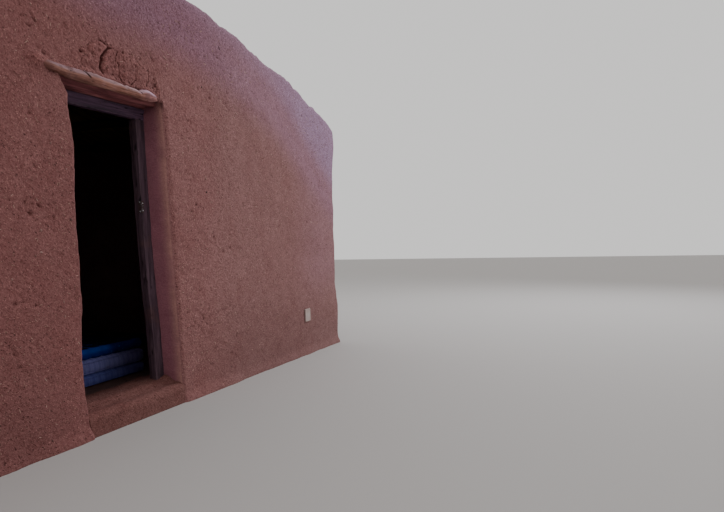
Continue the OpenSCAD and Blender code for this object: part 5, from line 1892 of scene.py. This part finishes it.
def mud_material(name, warm, pale, mauve, smooth_mud, straw=1.0):
    """Chopped-straw mud: grain, smears, pits and stalks over slow changes of colour."""
    m = Mat(name, 0.93)
    sep = m.node("SeparateXYZ")
    m.put(sep.inputs[0], m.obj)
    X, Y, Z = sep.outputs["X"], sep.outputs["Y"], sep.outputs["Z"]
    big = m.noise(0.9, 3, 0.6)
    mid = m.noise(5.5, 4, 0.6, dist=0.4)
    small = m.noise(24, 4, 0.62)
    # redder and darker to the left, paler to the right: partly the mud's own tone, partly painted light that falls off
    # to the left; paler and more mauve towards the roofline and the right-hand corner: partly bleached mud, partly
    # painted sky light
    tone = m.math("ADD", m.range(X, -0.9, 0.7, 0, 0.20), m.range(X, 0.7, 1.4, 0, 0.22))
    tone = m.math("ADD", tone, m.range(X, 2.2, 3.25, 0, 0.15))
    tone = m.math("ADD", tone, m.math("MULTIPLY", m.math("SUBTRACT", big, 0.5), 0.30))
    tone = m.math("ADD", tone, m.math("MULTIPLY", m.math("SUBTRACT", mid, 0.5), 0.25))
    tone = m.math("SUBTRACT", tone, m.math("MULTIPLY", m.attr("patch"), 0.08), clamp=True)
    c = m.mix(tone, warm, pale)
    up = m.math("ADD", Z, m.math("MULTIPLY", m.math("MULTIPLY", X, m.math("ABSOLUTE", X)), 0.10))
    up = m.math("ADD", up, m.math("MULTIPLY", m.math("MINIMUM", X, 0.0), 0.15))
    corner = m.math("MULTIPLY", m.range(X, 1.9, 2.9, 0, 0.22), m.range(Z, 0.3, 0.9))
    bleach_and_sky_tint = m.math("MULTIPLY", m.math("ADD", m.range(up, 2.20, 3.10), corner), m.range(Y, -0.9, -2.0, 0.22, 1.0))
    along = m.range(X, 0.6, 1.7)
    c = m.mix(m.range(bleach_and_sky_tint, 0.0, 0.55), c, m.mix(along, mauve[0], mauve[1]))
    c = m.mix(m.range(bleach_and_sky_tint, 0.70, 1.25), c, m.mix(along, mauve[2], mauve[3]))
    near = m.math("MULTIPLY", m.math("MULTIPLY", m.range(X, 0.30, 0.50), m.range(X, 1.15, 0.85)), m.range(Z, 0.15, 0.80))
    c = m.mix(near, c, tinted(m, c, (1.07, 1.06, 1.07)))
    # painted shade: the lower front wall beside the door painted darker towards the ground
    foot = m.math("ADD", m.range(X, 0.5, 1.5, 0, 0.21), m.range(X, -0.4, -0.8, 0, 0.15))
    c = m.mix(m.math("MULTIPLY", foot, m.range(Z, 0.95, 0.10)), c, lin(40, 26, 24))
    # uneven drying, then grain, calmer to the right
    c = tinted(m, c, m.ramp(mid, [(0.30, (0.96, 0.93, 0.93)), (0.50, 1.0), (0.72, (1.03, 1.03, 1.03))]))
    c = tinted(m, c, m.ramp(small, [(0.28, (0.93, 0.87, 0.87)), (0.50, 1.0), (0.74, (1.05, 1.06, 1.06))]))
    calm = m.range(X, 1.2, 2.0, 1.0, 0.72)
    c = m.mix(calm, c, tinted(m, c, m.ramp(m.noise(85, 3, 0.72), [(0.24, (0.60, 0.47, 0.47)), (0.5, 1.0), (0.78, (1.40, 1.48, 1.48))])))
    c = m.mix(calm, c, tinted(m, c, m.ramp(m.noise(190, 3, 0.74), [(0.25, (0.58, 0.48, 0.48)), (0.5, 1.0), (0.78, (1.52, 1.60, 1.60))])))
    plain = c
    # smeared strokes running down to the right on the front, finer than the relief, thick in some places; the low
    # places of the strokes painted darker (painted shade) and the high places paler (painted highlight)
    thick = m.range(m.noise(3.4, 3, 0.6), 0.42, 0.66, 0.35, 1.0)
    turned = m.map(rot=(0, math.radians(-38), 0))
    sv = m.map(scale=(34, 60, 130), vec=turned)
    stroke = m.noise(1.0, 2, 0.55, vec=sv, dist=0.25)
    c = m.mix(m.math("MULTIPLY", m.range(stroke, 0.42, 0.26, 0, 0.90), thick), c, tinted(m, c, (0.44, 0.30, 0.29)))
    c = m.mix(m.range(stroke, 0.60, 0.76, 0, 0.40), c, tinted(m, c, (1.38, 1.42, 1.40)))

    def cells(size, share, near, far, vec=None):
        """Some of the cells of a pattern, each fading out from its middle."""
        cell = m.node("SeparateColor")
        m.put(cell.inputs[0], m.voronoi(size, vec=vec, out="Color"))
        return m.math("MULTIPLY", m.range(m.voronoi(size, vec=vec), far, near), m.range(cell.outputs[0], share, share + 0.03))

    # pits, of two sizes, painted dark as painted shade in them; crumbs paler than the coat; dents painted darker as
    # painted shade in them
    pits = None
    for size, share, far, near in ((72, 0.88, 0.32, 0.16), (150, 0.84, 0.36, 0.18)):
        p = cells(1.0, share, near, far, m.map(scale=(0.55 * size, 0.8 * size, size), vec=turned))
        pits = p if pits is None else m.math("MAXIMUM", pits, p)
    c = m.mix(m.math("MULTIPLY", pits, 0.74), c, A_PIT_SHADE)
    crumbs = cells(92, 0.86, 0.18, 0.42)
    c = m.mix(m.math("MULTIPLY", crumbs, 0.9), c, tinted(m, c, (1.72, 1.97, 1.87)))
    c = m.mix(m.math("MULTIPLY", cells(150, 0.84, 0.24, 0.50), 0.85), c, tinted(m, c, (1.50, 1.62, 1.58)))
    dents = cells(118, 0.82, 0.20, 0.50)
    c = m.mix(m.math("MULTIPLY", dents, thick), c, tinted(m, c, (0.62, 0.46, 0.45)))
    # short pale stalks of chopped straw, lying three ways
    flecks = None
    for rot, sc, keep in ((-38, (62, 120, 250), 0.915), (35, (70, 120, 270), 0.940), (84, (66, 120, 260), 0.950)):
        f = cells(1.0, keep, 0.16, 0.38, m.map(scale=sc, vec=m.map(rot=(0, math.radians(rot), 0))))
        flecks = f if flecks is None else m.math("MAXIMUM", flecks, f)
    c = m.mix(m.math("MULTIPLY", flecks, 0.52 * straw), c, A_STRAW)
    # painted shade: deep places of the relief darker and redder; painted highlight: standing edges paler, and a paler,
    # bluer line along the door's arris
    cav = m.attr("cav")
    c = m.mix(m.range(cav, -0.0004, -0.0060, 0, 0.88), c, tinted(m, c, (0.36, 0.23, 0.22)))
    c = m.mix(m.range(cav, 0.0004, 0.0034, 0, 0.42), c, tinted(m, c, (1.42, 1.42, 1.40)))
    c = m.mix(m.math("MULTIPLY", m.attr("rim"), 0.55), c, tinted(m, c, (1.45, 1.50, 1.60)))
    # the reveals were smoothed by hand with finer mud; their paler, cooler colour is partly that mud and partly painted
    # light, and the strip next to the arris is painted lighter and browner, a painted light
    hand = m.attr("reveal")
    fine = tinted(m, m.mix(0.40, smooth_mud, plain), m.ramp(m.noise(9, 3, 0.55), [(0.3, 0.90), (0.5, 1.0), (0.75, 1.08)]))
    lip = m.math("MULTIPLY", m.attr("lip"), m.range(m.noise(7, 3, 0.6), 0.30, 0.62, 0.55, 1.0))
    fine = m.mix(lip, fine, tinted(m, fine, (1.50, 1.95, 1.35)))
    c = m.mix(m.math("MULTIPLY", hand, 0.88), c, fine)
    rough_part = m.math("SUBTRACT", 1.0, m.math("MULTIPLY", hand, 0.75))
    n = m.bump(m.noise(320, 2, 0.6), 0.0010, 0.7)
    n = m.bump(stroke, 0.0035, 0.9, n)
    n = m.bump(m.math("MULTIPLY", m.noise(70, 5, 0.70), rough_part), 0.0045, 1.0, n)
    n = m.bump(m.math("MULTIPLY", m.math("SUBTRACT", 1.0, pits), rough_part), 0.0040, 0.9, n)
    n = m.bump(m.math("MULTIPLY", m.math("SUBTRACT", crumbs, dents), rough_part), 0.0016, 0.8, n)
    n = m.bump(flecks, 0.0012, 0.8, n)
    m.b.inputs["Specular IOR Level"].default_value = 0.16
    return m.finish(c, m.range(small, 0.2, 0.8, 0.88, 0.98), n)


A_PIT_SHADE = lin(58, 28, 26)
A_STRAW = lin(160, 124, 112)
# mauve of the bleached mud and of the painted sky light towards the roofline and the right-hand corner
MAUVE = [lin(127, 91, 104), lin(144, 107, 119), lin(138, 111, 134), lin(152, 123, 148)]
ADOBE = mud_material("adobe_coat", lin(123, 80, 78), lin(150, 115, 113), MAUVE, lin(157, 98, 118))
for name in SKIN:
    SKIN[name][0].data.materials.append(ADOBE)
SILL.data.materials.append(mud_material("sill_mud", lin(108, 70, 66), lin(122, 88, 84), MAUVE, lin(110, 72, 70), straw=0.6))


def earth_material():
    m = Mat("beaten_earth", 0.95)
    c = m.ramp(m.noise(2.2, 5, 0.62), [(0.3, lin(78, 55, 50)), (0.55, lin(98, 70, 62)), (0.75, lin(118, 88, 78))])
    c = tinted(m, c, m.ramp(m.noise(70, 4, 0.7), [(0.25, 0.75), (0.5, 1.0), (0.8, 1.25)]))
    cell = m.node("SeparateColor")
    m.put(cell.inputs[0], m.voronoi(60, out="Color"))
    bits = m.math("MULTIPLY", m.range(m.voronoi(60), 0.30, 0.12), m.range(cell.outputs[0], 0.86, 0.9))
    c = m.mix(m.math("MULTIPLY", bits, 0.6), c, lin(150, 122, 104))
    crack = m.voronoi(3.2, feature="DISTANCE_TO_EDGE")
    c = m.mix(m.range(crack, 0.020, 0.004, 0, 0.5), c, lin(48, 32, 30))
    n = m.bump(m.noise(90, 4, 0.7), 0.003, 0.8)
    n = m.bump(m.range(crack, 0.0, 0.02), 0.004, 0.7, n)
    n = m.bump(bits, 0.002, 0.8, n)
    return m.finish(c, m.range(m.noise(9, 3), 0.3, 0.7, 0.86, 0.97), n)


FLOOR.data.materials.append(earth_material())


def log_material():
    """Debarked log with fine grain: painted light, orange-tan below where the ground's bounce light falls and
    mauve-grey above where the sky lights it.
    """
    m = Mat("facing_log", 0.8)
    grain = m.map(scale=(4.5, 60, 60))
    fine = m.map(scale=(9, 190, 190))
    g = m.noise(1.0, 4, 0.6, vec=grain, dist=0.5)
    f = m.noise(1.0, 3, 0.65, vec=fine, dist=0.2)
    # painted light: the wood coloured orange-tan where it faces down to the ground's bounce and mauve-grey where it
    # faces the sky
    low = m.ramp(g, [(0.30, lin(108, 66, 56)), (0.50, lin(142, 95, 82)), (0.72, lin(168, 122, 106))])
    top = m.ramp(g, [(0.30, lin(124, 92, 90)), (0.52, lin(160, 126, 130)), (0.74, lin(188, 156, 158))])
    up = m.math("ADD", m.attr("up"), m.math("MULTIPLY", m.math("SUBTRACT", m.noise(14, 3, 0.6), 0.5), 0.9), clamp=True)
    c = m.mix(up, low, top)
    c = tinted(m, c, m.ramp(f, [(0.28, 0.62), (0.50, 1.0), (0.74, 1.22)]))
    # mud smeared on; hollows, splits and checks painted dark as painted shade, raised places paler as painted highlight
    mud = m.noise(11, 4, 0.65)
    c = m.mix(m.range(mud, 0.56, 0.70, 0, 0.7), c, lin(112, 74, 68))
    c = m.mix(m.range(m.noise(34, 4, 0.66), 0.60, 0.74, 0, 0.6), c, lin(80, 48, 40))
    c = m.mix(m.range(m.attr("cav"), -0.0006, -0.0050, 0, 0.92), c, lin(34, 19, 18))
    c = m.mix(m.range(m.attr("cav"), 0.0006, 0.0026, 0, 0.35), c, tinted(m, c, (1.35, 1.32, 1.3)))
    sep = m.node("SeparateXYZ")
    m.put(sep.inputs[0], m.obj)
    c = m.mix(m.range(sep.outputs["X"], -0.12, -0.28), c, tinted(m, c, (0.76, 0.74, 0.77)))
    c = m.mix(m.range(sep.outputs["X"], 0.14, 0.30), c, tinted(m, c, (1.18, 1.18, 1.45)))
    left = m.range(m.math("ADD", sep.outputs["X"], m.math("MULTIPLY", m.math("SUBTRACT", mud, 0.5), 0.16)), -0.47, -0.575, 0, 0.92)
    c = m.mix(left, c, lin(112, 73, 67))
    n = m.bump(f, 0.0016, 0.8)
    n = m.bump(g, 0.0030, 0.7, n)
    m.b.inputs["Specular IOR Level"].default_value = 0.25
    return m.finish(c, m.range(g, 0.3, 0.7, 0.72, 0.9), n)


def round_wood(name, dark, mid, pale, axis="X", dust=0.35, rough=0.82):
    m = Mat(name, rough)
    big = {"X": (3.0, 34, 34), "Y": (34, 3.0, 34), "Z": (34, 34, 3.0)}[axis]
    fin = {"X": (8, 170, 170), "Y": (170, 8, 170), "Z": (170, 170, 8)}[axis]
    g = m.noise(1.0, 4, 0.6, vec=m.map(scale=big), dist=0.5)
    f = m.noise(1.0, 3, 0.65, vec=m.map(scale=fin), dist=0.2)
    c = m.ramp(g, [(0.30, dark), (0.50, mid), (0.74, pale)])
    c = tinted(m, c, m.ramp(f, [(0.26, 0.62), (0.50, 1.0), (0.76, 1.25)]))
    c = m.mix(m.range(m.noise(7, 4, 0.62), 0.50, 0.72, 0, dust), c, lin(112, 84, 76))
    # painted shade: checks and knot holes darkened
    c = m.mix(m.range(m.attr("cav"), -0.0005, -0.0034, 0, 0.85), c, tinted(m, c, (0.28, 0.24, 0.24)))
    n = m.bump(f, 0.0016, 0.8)
    n = m.bump(g, 0.0032, 0.7, n)
    m.b.inputs["Specular IOR Level"].default_value = 0.25
    return m.finish(c, m.range(g, 0.3, 0.7, rough - 0.08, rough + 0.08), n)


LOGS[0].data.materials.append(log_material())
soffit = round_wood("soffit_log", lin(76, 38, 41), lin(124, 69, 73), lin(166, 105, 107), dust=0.15)
for ob in LOGS[1:]:
    ob.data.materials.append(soffit)
pole = round_wood("roof_pole", lin(62, 44, 34), lin(98, 74, 56), lin(134, 106, 82), axis="Y")
for ob in POLES:
    ob.data.materials.append(pole)


def frame_material(name, axis, tint):
    """Old bare timber: dark, grey where it is worn, paler along the arrises."""
    m = Mat(name, 0.78)
    big = {"X": (2.4, 46, 46), "Z": (46, 46, 2.4)}[axis]
    fin = {"X": (7, 240, 240), "Z": (240, 240, 7)}[axis]
    g = m.noise(1.0, 4, 0.62, vec=m.map(scale=big), dist=0.7)
    f = m.noise(1.0, 3, 0.66, vec=m.map(scale=fin), dist=0.25)
    c = m.ramp(g, [(0.28, lin(44, 32, 40)), (0.50, lin(74, 55, 66)), (0.74, lin(100, 79, 90))])
    c = tinted(m, c, m.ramp(f, [(0.26, 0.55), (0.50, 1.0), (0.76, 1.35)]))
    worn = m.math("MULTIPLY", m.attr("arris"), m.range(m.noise(12, 4, 0.65), 0.42, 0.62))
    c = m.mix(m.math("MULTIPLY", worn, 0.25), c, lin(104, 84, 88))
    c = m.mix(m.range(m.noise(5, 4, 0.62), 0.55, 0.75, 0, 0.5), c, lin(96, 68, 66))
    # painted shade: checks, chips and dents darkened
    c = m.mix(m.range(m.attr("cav"), -0.0005, -0.0030, 0, 0.85), c, lin(16, 11, 13))
    c = tinted(m, c, tint)
    n = m.bump(f, 0.0014, 0.85)
    n = m.bump(g, 0.0026, 0.7, n)
    m.b.inputs["Specular IOR Level"].default_value = 0.22
    return m.finish(c, m.range(g, 0.3, 0.7, 0.68, 0.88), n)


fw_z, fw_x = frame_material("frame_upright", "Z", (0.95, 0.95, 0.95)), frame_material("frame_head", "X", (1.20, 1.12, 1.42))
for ob, mat in zip(FRAME, (fw_z, fw_z, fw_x)):
    ob.data.materials.append(mat)


def reed_material():
    m = Mat("dry_reed", 0.7)
    hue = m.attr("hue")
    c = m.ramp(hue, [(0.0, lin(112, 86, 50)), (0.35, lin(146, 116, 72)), (0.7, lin(168, 142, 96)), (1.0, lin(124, 104, 70))])
    f = m.noise(1.0, 3, 0.6, vec=m.map(scale=(5, 260, 260)))
    c = tinted(m, c, m.ramp(f, [(0.25, 0.65), (0.5, 1.0), (0.78, 1.25)]))
    knot = m.noise(1.0, 2, 0.5, vec=m.map(scale=(4.5, 0.3, 0.3)))
    c = m.mix(m.range(knot, 0.60, 0.66, 0, 0.55), c, lin(82, 60, 38))
    c = m.mix(m.range(m.noise(4, 3), 0.5, 0.7, 0, 0.4), c, lin(110, 84, 72))
    return m.finish(c, m.range(f, 0.3, 0.7, 0.6, 0.8), m.bump(f, 0.0012, 0.7))


REEDS.data.materials.append(reed_material())


def straw_material():
    m = Mat("straw_bits", 0.78)
    c = m.ramp(m.attr("hue"), [(0.0, lin(98, 64, 55)), (0.30, lin(134, 95, 84)), (0.65, lin(166, 128, 113)), (0.90, lin(184, 151, 136)), (1.0, lin(196, 170, 156))])
    f = m.noise(240, 3, 0.6)
    c = tinted(m, c, m.ramp(f, [(0.3, 0.75), (0.5, 1.0), (0.75, 1.2)]))
    c = m.mix(m.range(m.noise(40, 3, 0.6), 0.50, 0.68, 0, 0.65), c, lin(118, 80, 74))
    return m.finish(c, m.range(f, 0.3, 0.7, 0.7, 0.88), m.bump(f, 0.0006, 0.6))


straw_mat = straw_material()
for ob in STRAW:
    ob.data.materials.append(straw_mat)


def grit_material():
    m = Mat("small_stones", 0.8)
    c = m.ramp(m.attr("hue"), [(0.0, lin(62, 36, 34)), (0.3, lin(104, 68, 62)), (0.6, lin(126, 90, 84)), (0.88, lin(144, 108, 102)), (1.0, lin(164, 130, 124))])
    f = m.noise(180, 3, 0.6)
    c = tinted(m, c, m.ramp(f, [(0.3, 0.75), (0.5, 1.0), (0.75, 1.18)]))
    return m.finish(c, m.range(f, 0.3, 0.7, 0.7, 0.9), m.bump(f, 0.0008, 0.7))


GRIT.data.materials.append(grit_material())


def steel_material(name, metal, base, rust, amount, rough):
    m = Mat(name, rough)
    n1, n2 = m.noise(55, 5, 0.68), m.noise(320, 3, 0.6)
    spread = m.range(n1, 0.62 - amount * 0.30, 0.74 - amount * 0.30)
    c = m.mix(spread, base, rust)
    c = tinted(m, c, m.ramp(n2, [(0.3, 0.80), (0.5, 1.0), (0.75, 1.15)]))
    inv = m.math("SUBTRACT", 1.0, spread)
    m.put(m.b.inputs["Metallic"], m.math("MULTIPLY", inv, metal))
    n = m.bump(n2, 0.0003, 0.6)
    n = m.bump(spread, 0.0004, 0.7, n)
    return m.finish(c, m.range(spread, 0, 1, rough, 0.85), n)


KEEP.data.materials.append(steel_material("keep_steel", 0.75, lin(112, 110, 116), lin(58, 38, 38), 0.85, 0.5))
SCREWS.data.materials.append(steel_material("bright_screws", 0.75, lin(226, 228, 236), lin(120, 100, 96), 0.06, 0.40))
NAILS.data.materials.append(steel_material("nail_heads", 0.8, lin(92, 84, 82), lin(64, 40, 34), 0.8, 0.6))


def cover_material():
    m = Mat("dusty_cover", 0.55)
    n1, n2 = m.noise(16, 5, 0.65), m.noise(160, 4, 0.65)
    c = m.mix(m.range(n1, 0.35, 0.72, 0.10, 0.60), lin(172, 156, 151), lin(150, 124, 114))
    c = tinted(m, c, m.ramp(n2, [(0.3, 0.86), (0.5, 1.0), (0.75, 1.07)]))
    sep = m.node("SeparateXYZ")
    m.put(sep.inputs[0], m.obj)
    c = m.mix(m.range(sep.outputs["Z"], 0.350, 0.330, 0, 0.45), c, lin(128, 96, 84))
    # painted shade: the back box and the rear of the cover's edge, in the gap against the wall, painted dark
    c = m.mix(m.range(sep.outputs["Y"], -2.1060, -2.1015, 0, 0.85), c, lin(52, 36, 34))
    scr = m.noise(1.0, 2, 0.5, vec=m.map(rot=(0, 0.5, 0), scale=(14, 60, 700)))
    c = m.mix(m.range(scr, 0.66, 0.72, 0, 0.4), c, lin(196, 192, 186))
    n = m.bump(n2, 0.0004, 0.5)
    return m.finish(c, m.range(n1, 0.3, 0.7, 0.45, 0.75), n)


COVER.data.materials.append(cover_material())


def cloth_material(name, base, other, stripe, thread=900.0):
    """Woven cotton with faint stripes, creased and a little soiled, with painted shade towards its right-hand end."""
    m = Mat(name, 0.92)
    sep = m.node("SeparateXYZ")
    m.put(sep.inputs[0], m.obj)
    X, Y = sep.outputs["X"], sep.outputs["Y"]
    wave = lambda v, f: m.math("SINE", m.math("MULTIPLY", v, f))
    bands = m.range(wave(X, 2 * math.pi / stripe), 0.25, 0.75)
    thin = m.range(wave(X, 6 * math.pi / stripe), 0.80, 0.95)
    c = m.mix(m.math("MULTIPLY", bands, 0.55), base, other)
    c = m.mix(m.math("MULTIPLY", thin, 0.35), c, tinted(m, c, (0.55, 0.55, 0.70)))
    weave = m.math("MULTIPLY", m.math("ADD", wave(X, thread), wave(m.math("ADD", Y, sep.outputs["Z"]), thread)), 0.25)
    c = tinted(m, c, m.range(weave, -0.5, 0.5, 0.86, 1.10))
    c = tinted(m, c, m.ramp(m.noise(6, 4, 0.6), [(0.3, 0.80), (0.5, 1.0), (0.75, 1.12)]))
    c = m.mix(m.range(m.noise(9, 4, 0.65), 0.56, 0.72, 0, 0.35), c, lin(110, 88, 96))
    # painted shade: darker towards the right, under the shade of the doorway's right side
    c = m.mix(m.range(X, 0.50, 0.98, 0, 0.85), c, tinted(m, c, (0.52, 0.42, 0.42)))
    n = m.bump(weave, 0.0006, 0.5)
    n = m.bump(m.noise(1.0, 4, 0.6, vec=m.map(scale=(36, 30, 9)), dist=0.6), 0.006, 0.7, n)
    m.b.inputs["Specular IOR Level"].default_value = 0.2
    return m.finish(c, m.range(m.noise(30, 3), 0.3, 0.7, 0.86, 0.97), n)


MAT_MID.data.materials.append(cloth_material("ticking_pale", lin(134, 134, 196), lin(112, 114, 180), 0.052))
MAT_LOW.data.materials.append(cloth_material("ticking_blue", lin(104, 110, 182), lin(84, 92, 166), 0.064))


def quilt_material():
    m = Mat("blue_quilt", 0.9)
    sep = m.node("SeparateXYZ")
    m.put(sep.inputs[0], m.obj)
    X, Y, Z = sep.outputs["X"], sep.outputs["Y"], sep.outputs["Z"]
    wave = lambda v, f: m.math("SINE", m.math("MULTIPLY", v, f))
    c = m.ramp(m.noise(3, 4, 0.6), [(0.3, lin(0, 50, 140)), (0.52, lin(0, 66, 176)), (0.75, lin(6, 82, 198))])
    # painted light: the fold's lower half painted darker than its upper half, the part beyond x 0.66 painted dark navy
    # as painted shade from the right side of the doorway, and the upper side painted near black as painted shade
    c = m.mix(m.range(Z, 0.318, 0.345), tinted(m, c, (0.5, 0.36, 0.62)), c)
    c = m.mix(m.range(m.math("ADD", X, m.math("MULTIPLY", m.noise(5, 2), 0.12)), 0.66, 0.80, 0, 0.80), c, lin(14, 18, 92))
    c = m.mix(m.range(m.math("ADD", Z, m.math("MULTIPLY", m.noise(14, 2), 0.006)), 0.3690, 0.3745), c, lin(6, 8, 40))
    weave = m.math("MULTIPLY", m.math("ADD", wave(X, 1100.0), wave(m.math("ADD", Y, Z), 1100.0)), 0.25)
    c = tinted(m, c, m.range(weave, -0.5, 0.5, 0.84, 1.10))
    # a small printed sprig
    cell = m.node("SeparateColor")
    m.put(cell.inputs[0], m.voronoi(26, out="Color"))
    dots = m.math("MULTIPLY", m.range(m.voronoi(26), 0.22, 0.14), m.range(cell.outputs[0], 0.60, 0.64))
    c = m.mix(m.math("MULTIPLY", dots, 0.30), c, lin(60, 150, 226))
    c = m.mix(m.range(m.noise(8, 4, 0.65), 0.56, 0.74, 0, 0.3), c, lin(40, 60, 96))
    n = m.bump(weave, 0.0005, 0.5)
    n = m.bump(m.noise(1.0, 4, 0.62, vec=m.map(scale=(26, 26, 22)), dist=0.8), 0.005, 0.7, n)
    m.b.inputs["Specular IOR Level"].default_value = 0.15
    return m.finish(c, m.range(m.noise(30, 3), 0.3, 0.7, 0.82, 0.95), n)


QUILT.data.materials.append(quilt_material())


# ---------------------------------------------------------------- camera, floor and light
def make_camera():
    cam = bpy.data.cameras.new("camera")
    cam.sensor_width = 36.0
    cam.sensor_fit = "HORIZONTAL"
    cam.lens = 36.0 * 640.0 / 724.0
    cam.shift_y = 55.0 / 724.0
    obj = bpy.data.objects.new("camera", cam)
    pitch, roll = math.radians(6.4626), math.radians(1.4324)
    th = math.radians(21.59)
    fwd_h = Vector((math.cos(th), math.sin(th), 0))
    right0 = Vector((math.sin(th), -math.cos(th), 0))
    fwd = fwd_h * math.cos(pitch) - Vector((0, 0, math.sin(pitch)))
    up0 = right0.cross(fwd)
    right = right0 * math.cos(roll) - up0 * math.sin(roll)
    up = up0 * math.cos(roll) + right0 * math.sin(roll)
    m = Matrix((right, up, -fwd)).transposed().to_4x4()
    m.translation = Vector((-2.802 - 0.445, -2.1 - 2.878, 1.15))
    obj.matrix_world = m
    bpy.context.scene.collection.objects.link(obj)
    bpy.context.scene.camera = obj


make_camera()
bpy.ops.mesh.primitive_plane_add(size=60, location=(0, 0, 0))
floor = bpy.context.object
floor.name = "floor"
floor_mat = bpy.data.materials.new("pale_floor")
floor_mat.use_nodes = True
fb = floor_mat.node_tree.nodes["Principled BSDF"]
fb.inputs["Base Color"].default_value = (0.42, 0.40, 0.39, 1)
fb.inputs["Roughness"].default_value = 0.9
floor.data.materials.append(floor_mat)
world = bpy.data.worlds.new("world")
bpy.context.scene.world = world
world.use_nodes = True
world.node_tree.nodes["Background"].inputs[0].default_value = (1.0, 0.985, 0.97, 1)
world.node_tree.nodes["Background"].inputs[1].default_value = 0.9


def soft_lamp(name, place, aim, size, power, colour):
    lamp = bpy.data.lights.new(name, "AREA")
    lamp.shape = "DISK"
    lamp.size = size
    lamp.energy = power
    lamp.color = colour
    ob = bpy.data.objects.new(name, lamp)
    ob.location = place
    ob.rotation_euler = (Vector(aim) - Vector(place)).to_track_quat("-Z", "Y").to_euler()
    bpy.context.scene.collection.objects.link(ob)


soft_lamp("sky_side", (8.5, -5.5, 6.0), (2.5, -2.1, 1.6), 5.0, 420, (0.92, 0.95, 1.0))
